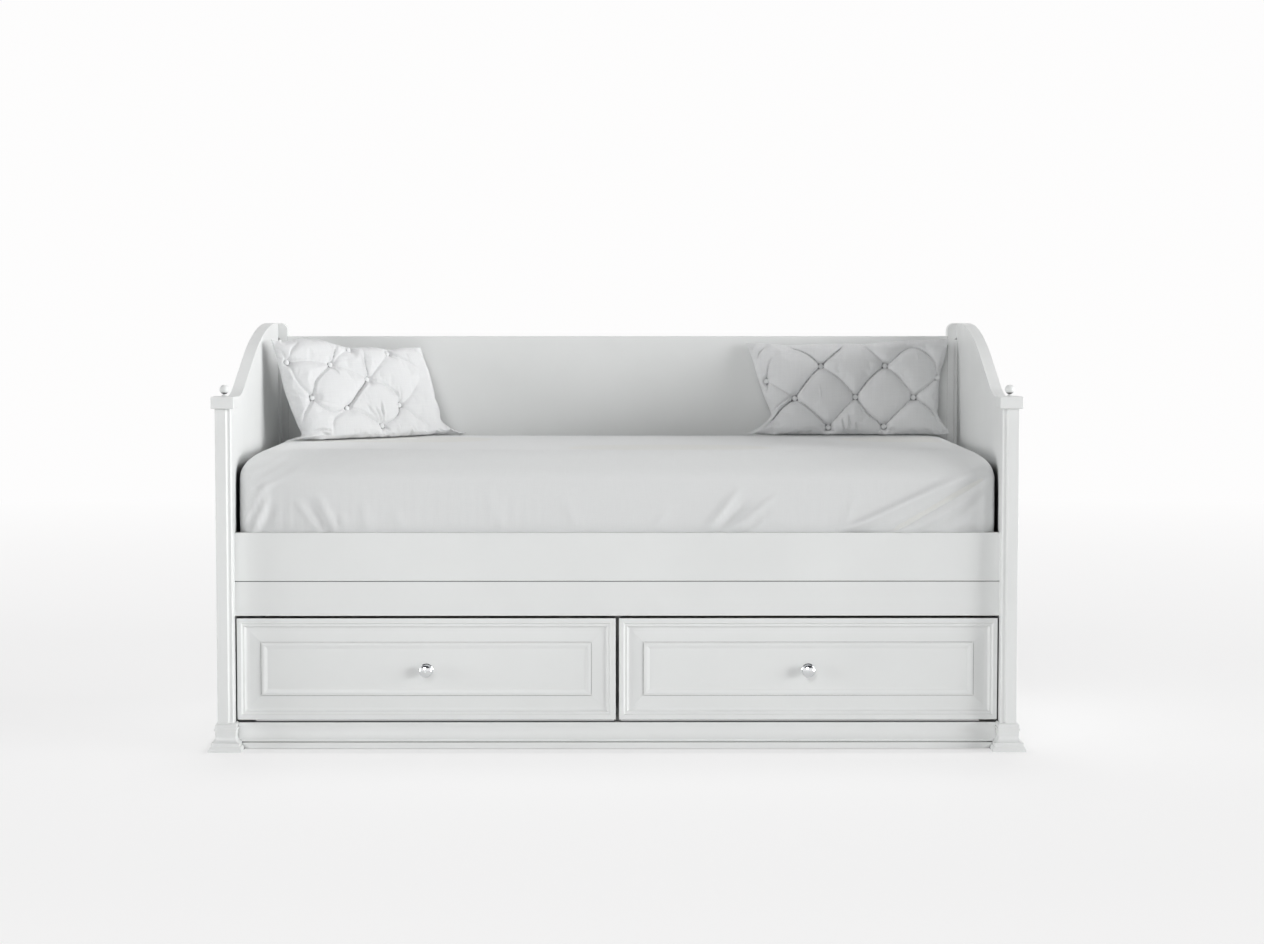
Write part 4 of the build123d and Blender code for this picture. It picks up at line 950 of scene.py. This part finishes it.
def puffed(face, lines):
    """How far each point of a face moves when it is blown up as cloth, as a grid of the same shape."""
    start = face.reshape(-1, 3)
    mesh = bpy.data.meshes.new("puffed_face")
    mesh.from_pydata(start.tolist(), [], grid_faces(*face.shape[:2]).tolist())
    trial = bpy.data.objects.new("puffed_face", mesh)
    scene.collection.objects.link(trial)
    group = trial.vertex_groups.new(name="held")
    hold = hold_weights(start[:, [0, 2]], lines, face.shape[:2])
    for weight in np.unique(hold[hold > 0]):
        group.add(np.nonzero(hold == weight)[0].tolist(), float(weight), "REPLACE")
    cloth = trial.modifiers.new("cloth", "CLOTH")
    settings = {"quality": 5, "mass": 0.3, "tension_stiffness": 15, "compression_stiffness": 15,
                "shear_stiffness": 5, "bending_stiffness": 2.0, "air_damping": 1.0, "use_pressure": True,
                "uniform_pressure_force": 3.0, "shrink_min": -SPARE_CLOTH, "vertex_group_mass": "held"}
    for key, value in settings.items():
        setattr(cloth.settings, key, value)
    cloth.settings.effector_weights.gravity = 0.0
    cloth.collision_settings.use_collision = False
    cloth.collision_settings.use_self_collision = False
    cloth.point_cache.frame_end = CLOTH_FRAMES
    for step in range(1, CLOTH_FRAMES + 1):
        scene.frame_set(step)
    shape = trial.evaluated_get(bpy.context.evaluated_depsgraph_get()).data
    now = np.empty(len(start) * 3)
    shape.vertices.foreach_get("co", now)
    moved = now.reshape(-1, 3) - start
    far = np.linalg.norm(moved, axis=1, keepdims=True)
    bpy.data.objects.remove(trial)
    scene.frame_set(1)
    print("puffed by up to", round(far.max() / MM, 1), "mm")
    return (moved * CLOTH_SHARE * np.minimum(1, CLOTH_CAP / np.maximum(far, 1e-9))).reshape(face.shape)


def finer(grid):
    """A grid with a new point halfway between each two neighbours."""
    for axis in (0, 1):
        grid = np.moveaxis(grid, axis, 0)
        double = np.empty((2 * len(grid) - 1,) + grid.shape[1:])
        double[::2] = grid
        double[1::2] = (grid[1:] + grid[:-1]) / 2
        grid = np.moveaxis(double, 0, axis)
    return grid


# %% [markdown]
# A pillow in its own frame faces the front. It is leant back, turned, and set down: its
# lower corners lie on the sheet, its rear is pressed a little against the back panel,
# and the cloth that would go into either lies flat on it instead.

# %% Placing
SEAT_LINE = -0.150
PRESSED = 0.006


def turned(points, lines):
    """Points leant back by a pillow's tilt about X and then turned by its yaw about Z."""
    tilt, yaw = math.radians(lines["tilt"]), math.radians(lines["yaw"])
    cos, sin = math.cos(tilt), math.sin(tilt)
    lean = np.array([[1, 0, 0], [0, cos, sin], [0, -sin, cos]])
    cos, sin = math.cos(yaw), math.sin(yaw)
    spin = np.array([[cos, -sin, 0], [sin, cos, 0], [0, 0, 1]])
    return points @ (spin @ lean).T


def seated(points, side, lines):
    """The move that sets a turned pillow down in its node's place."""
    low, high = corners_of(side + "_pillow")
    if side == "left":
        across = low[0] + lines["gap"] - points[:, 0].min()
    else:
        across = high[0] - lines["gap"] - points[:, 0].max()
    lowered = low[2] - SEAT_LINE * math.cos(math.radians(lines["tilt"]))
    return np.array([across, high[1] + PRESSED - points[:, 1].max(), lowered])


def resting(points, side):
    """The same points, those below the sheet lifted onto it, those behind the panel's face brought
    forward."""
    low, high = corners_of(side + "_pillow")
    points[:, 1] = np.minimum(points[:, 1], high[1])
    points[:, 2] = np.maximum(points[:, 2], low[2])
    return points


# %% [markdown]
# A covered button is a low dome with a pinched rim, gathered by its own thread. Its
# profile is turned about its axis, and the cloth's pleats ripple its edge.

# %% Covered button
BUTTON_RADIUS = 0.0072
BUTTON_DOME = 0.0042
BUTTON_PROUD = 0.0034


def button_form():
    """A dome as a grid of rings: radius along a half ellipse, height falling to the rim and under it,
    with shallow pleats that grow towards the rim."""
    turn = np.linspace(0, math.pi * 0.82, 12)[:, None]
    around = np.linspace(0, 2 * math.pi, 36, endpoint=False)[None, :]
    pleats = 1 + 0.035 * np.sin(turn) ** 2 * np.cos(12 * around)
    radius = BUTTON_RADIUS * np.sin(turn) * pleats
    height = BUTTON_DOME * np.cos(turn) + 0 * around
    return np.stack([radius * np.cos(around), -height, radius * np.sin(around)], axis=-1)


def button_points(face, lines):
    """All buttons of a pillow, each on the face at its place, and the faces of their mesh."""
    form = button_form()
    rings, around = form.shape[:2]
    flat = face.reshape(-1, 3)
    points, faces = [], []
    for x, z in np.array(lines["buttons"]) * MM:
        seat = flat[np.hypot(flat[:, 0] - x, flat[:, 2] - z).argmin()]
        faces.append(grid_faces(rings, around, first=len(points) * rings * around, closed=True))
        points.append(form.reshape(-1, 3) + np.array([x, seat[1] - BUTTON_PROUD, z]))
    return np.concatenate(points), np.concatenate(faces)


# %% [markdown]
# Each pillow is now put together: front and back are welded along their rim, and the
# buttons are seated on the finished front, in the same linen, painted a shade lighter as a painted
# highlight.

# %% Pillows
LINEN_THREADS = 620.0
# Colour of the shade painted into the pillows' folds.
PAINTED_FOLD_SHADE = (0.16, 0.165, 0.17)
linen = woven_cloth(
    "pillow_linen", (0.775, 0.78, 0.785), (0.68, 0.685, 0.692), LINEN_THREADS, 0.35, 0.5, 0.35, PAINTED_FOLD_SHADE
)
# Painted highlight: the buttons' copy of the linen is a shade lighter, and has no fold shade.
button_linen_highlight = woven_cloth(
    "button_linen_highlight", (0.80, 0.805, 0.81), (0.72, 0.725, 0.73), LINEN_THREADS, 0.35, 0.4, 0.35
)
for seed, (side, lines) in enumerate(PILLOW_LINES.items()):
    front, back = pillow_faces(lines, ROWS, COLUMNS, seed)
    cloth_places = np.concatenate([front, back]).reshape(-1, 3)[:, [0, 2]]
    coarse, _ = pillow_faces(lines, (ROWS + 1) // 2, (COLUMNS + 1) // 2, seed, creased=False)
    front = front + finer(puffed(coarse, lines))
    both = np.concatenate([front, back]).reshape(-1, 3)
    back_faces = grid_faces(ROWS, COLUMNS, first=ROWS * COLUMNS, flip=True)
    faces = np.concatenate([grid_faces(ROWS, COLUMNS), back_faces])
    placed = turned(both, lines)
    shift = seated(placed, side, lines)
    pillow = mesh_object(side + "_tufted_pillow", resting(placed + shift, side), faces, cloth=cloth_places)
    places, button_faces = button_points(front, lines)
    placed_buttons = turned(places, lines) + shift
    buttons = mesh_object(side + "_covered_buttons", placed_buttons, button_faces, cloth=places[:, [0, 2]])
    for piece, node, finish in ((pillow, "_pillow", linen), (buttons, "_pillow_buttons", button_linen_highlight)):
        piece.data.materials.append(finish)
        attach(piece, side + "_pillow")
        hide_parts(side + node)
    print(side, "pillow", len(pillow.data.polygons), "faces, moved by", shift.round(3))

# %% [markdown]
# The studio is one pale floor that reaches to the horizon. It takes the bed's shadow
# close by, and glows more and more with the distance, until it meets the sky unseen.

# %% Studio floor
FLOOR_HALF = 30.0
CONTACT_REACH = 0.03
FADE_REACH = (1.5, 8.0)
floor_corners = FLOOR_HALF * np.array([(-1, -1, 0), (1, -1, 0), (1, 1, 0), (-1, 1, 0)])
floor = mesh_object("studio_floor", floor_corners, [(0, 1, 2, 3)], smooth=False)
pale = Finish("studio_floor", (0.90, 0.90, 0.90), 0.9)
seen = pale.add("LightPath").outputs
glow = pale.add("Emission", Color=PALE, Strength=1.0).outputs[0]
where = pale.add("NewGeometry").outputs["Position"]
past = pale.vector("SUBTRACT", pale.vector("ABSOLUTE", where)[0], (*cad_bounds[1][:2], 0.0))[0]
away = pale.vector("LENGTH", pale.vector("MAXIMUM", past, (0.0, 0.0, 0.0))[0])["Value"]
near = pale.span(away, 0.0, CONTACT_REACH, 0.45, 0.69)
far = pale.math("ADD", near, pale.span(away, *FADE_REACH, 0.0, 0.31))
mirrored = pale.math("MULTIPLY", seen["Is Glossy Ray"], 0.3)
share = pale.math("MULTIPLY", far, pale.math("MAXIMUM", seen["Is Camera Ray"], mirrored))
blend = pale.add("MixShader", (), share, pale.shader.outputs[0], glow).outputs[0]
pale.feed(pale.tree.nodes["Material Output"].inputs["Surface"], blend)
floor.data.materials.append(pale.material)
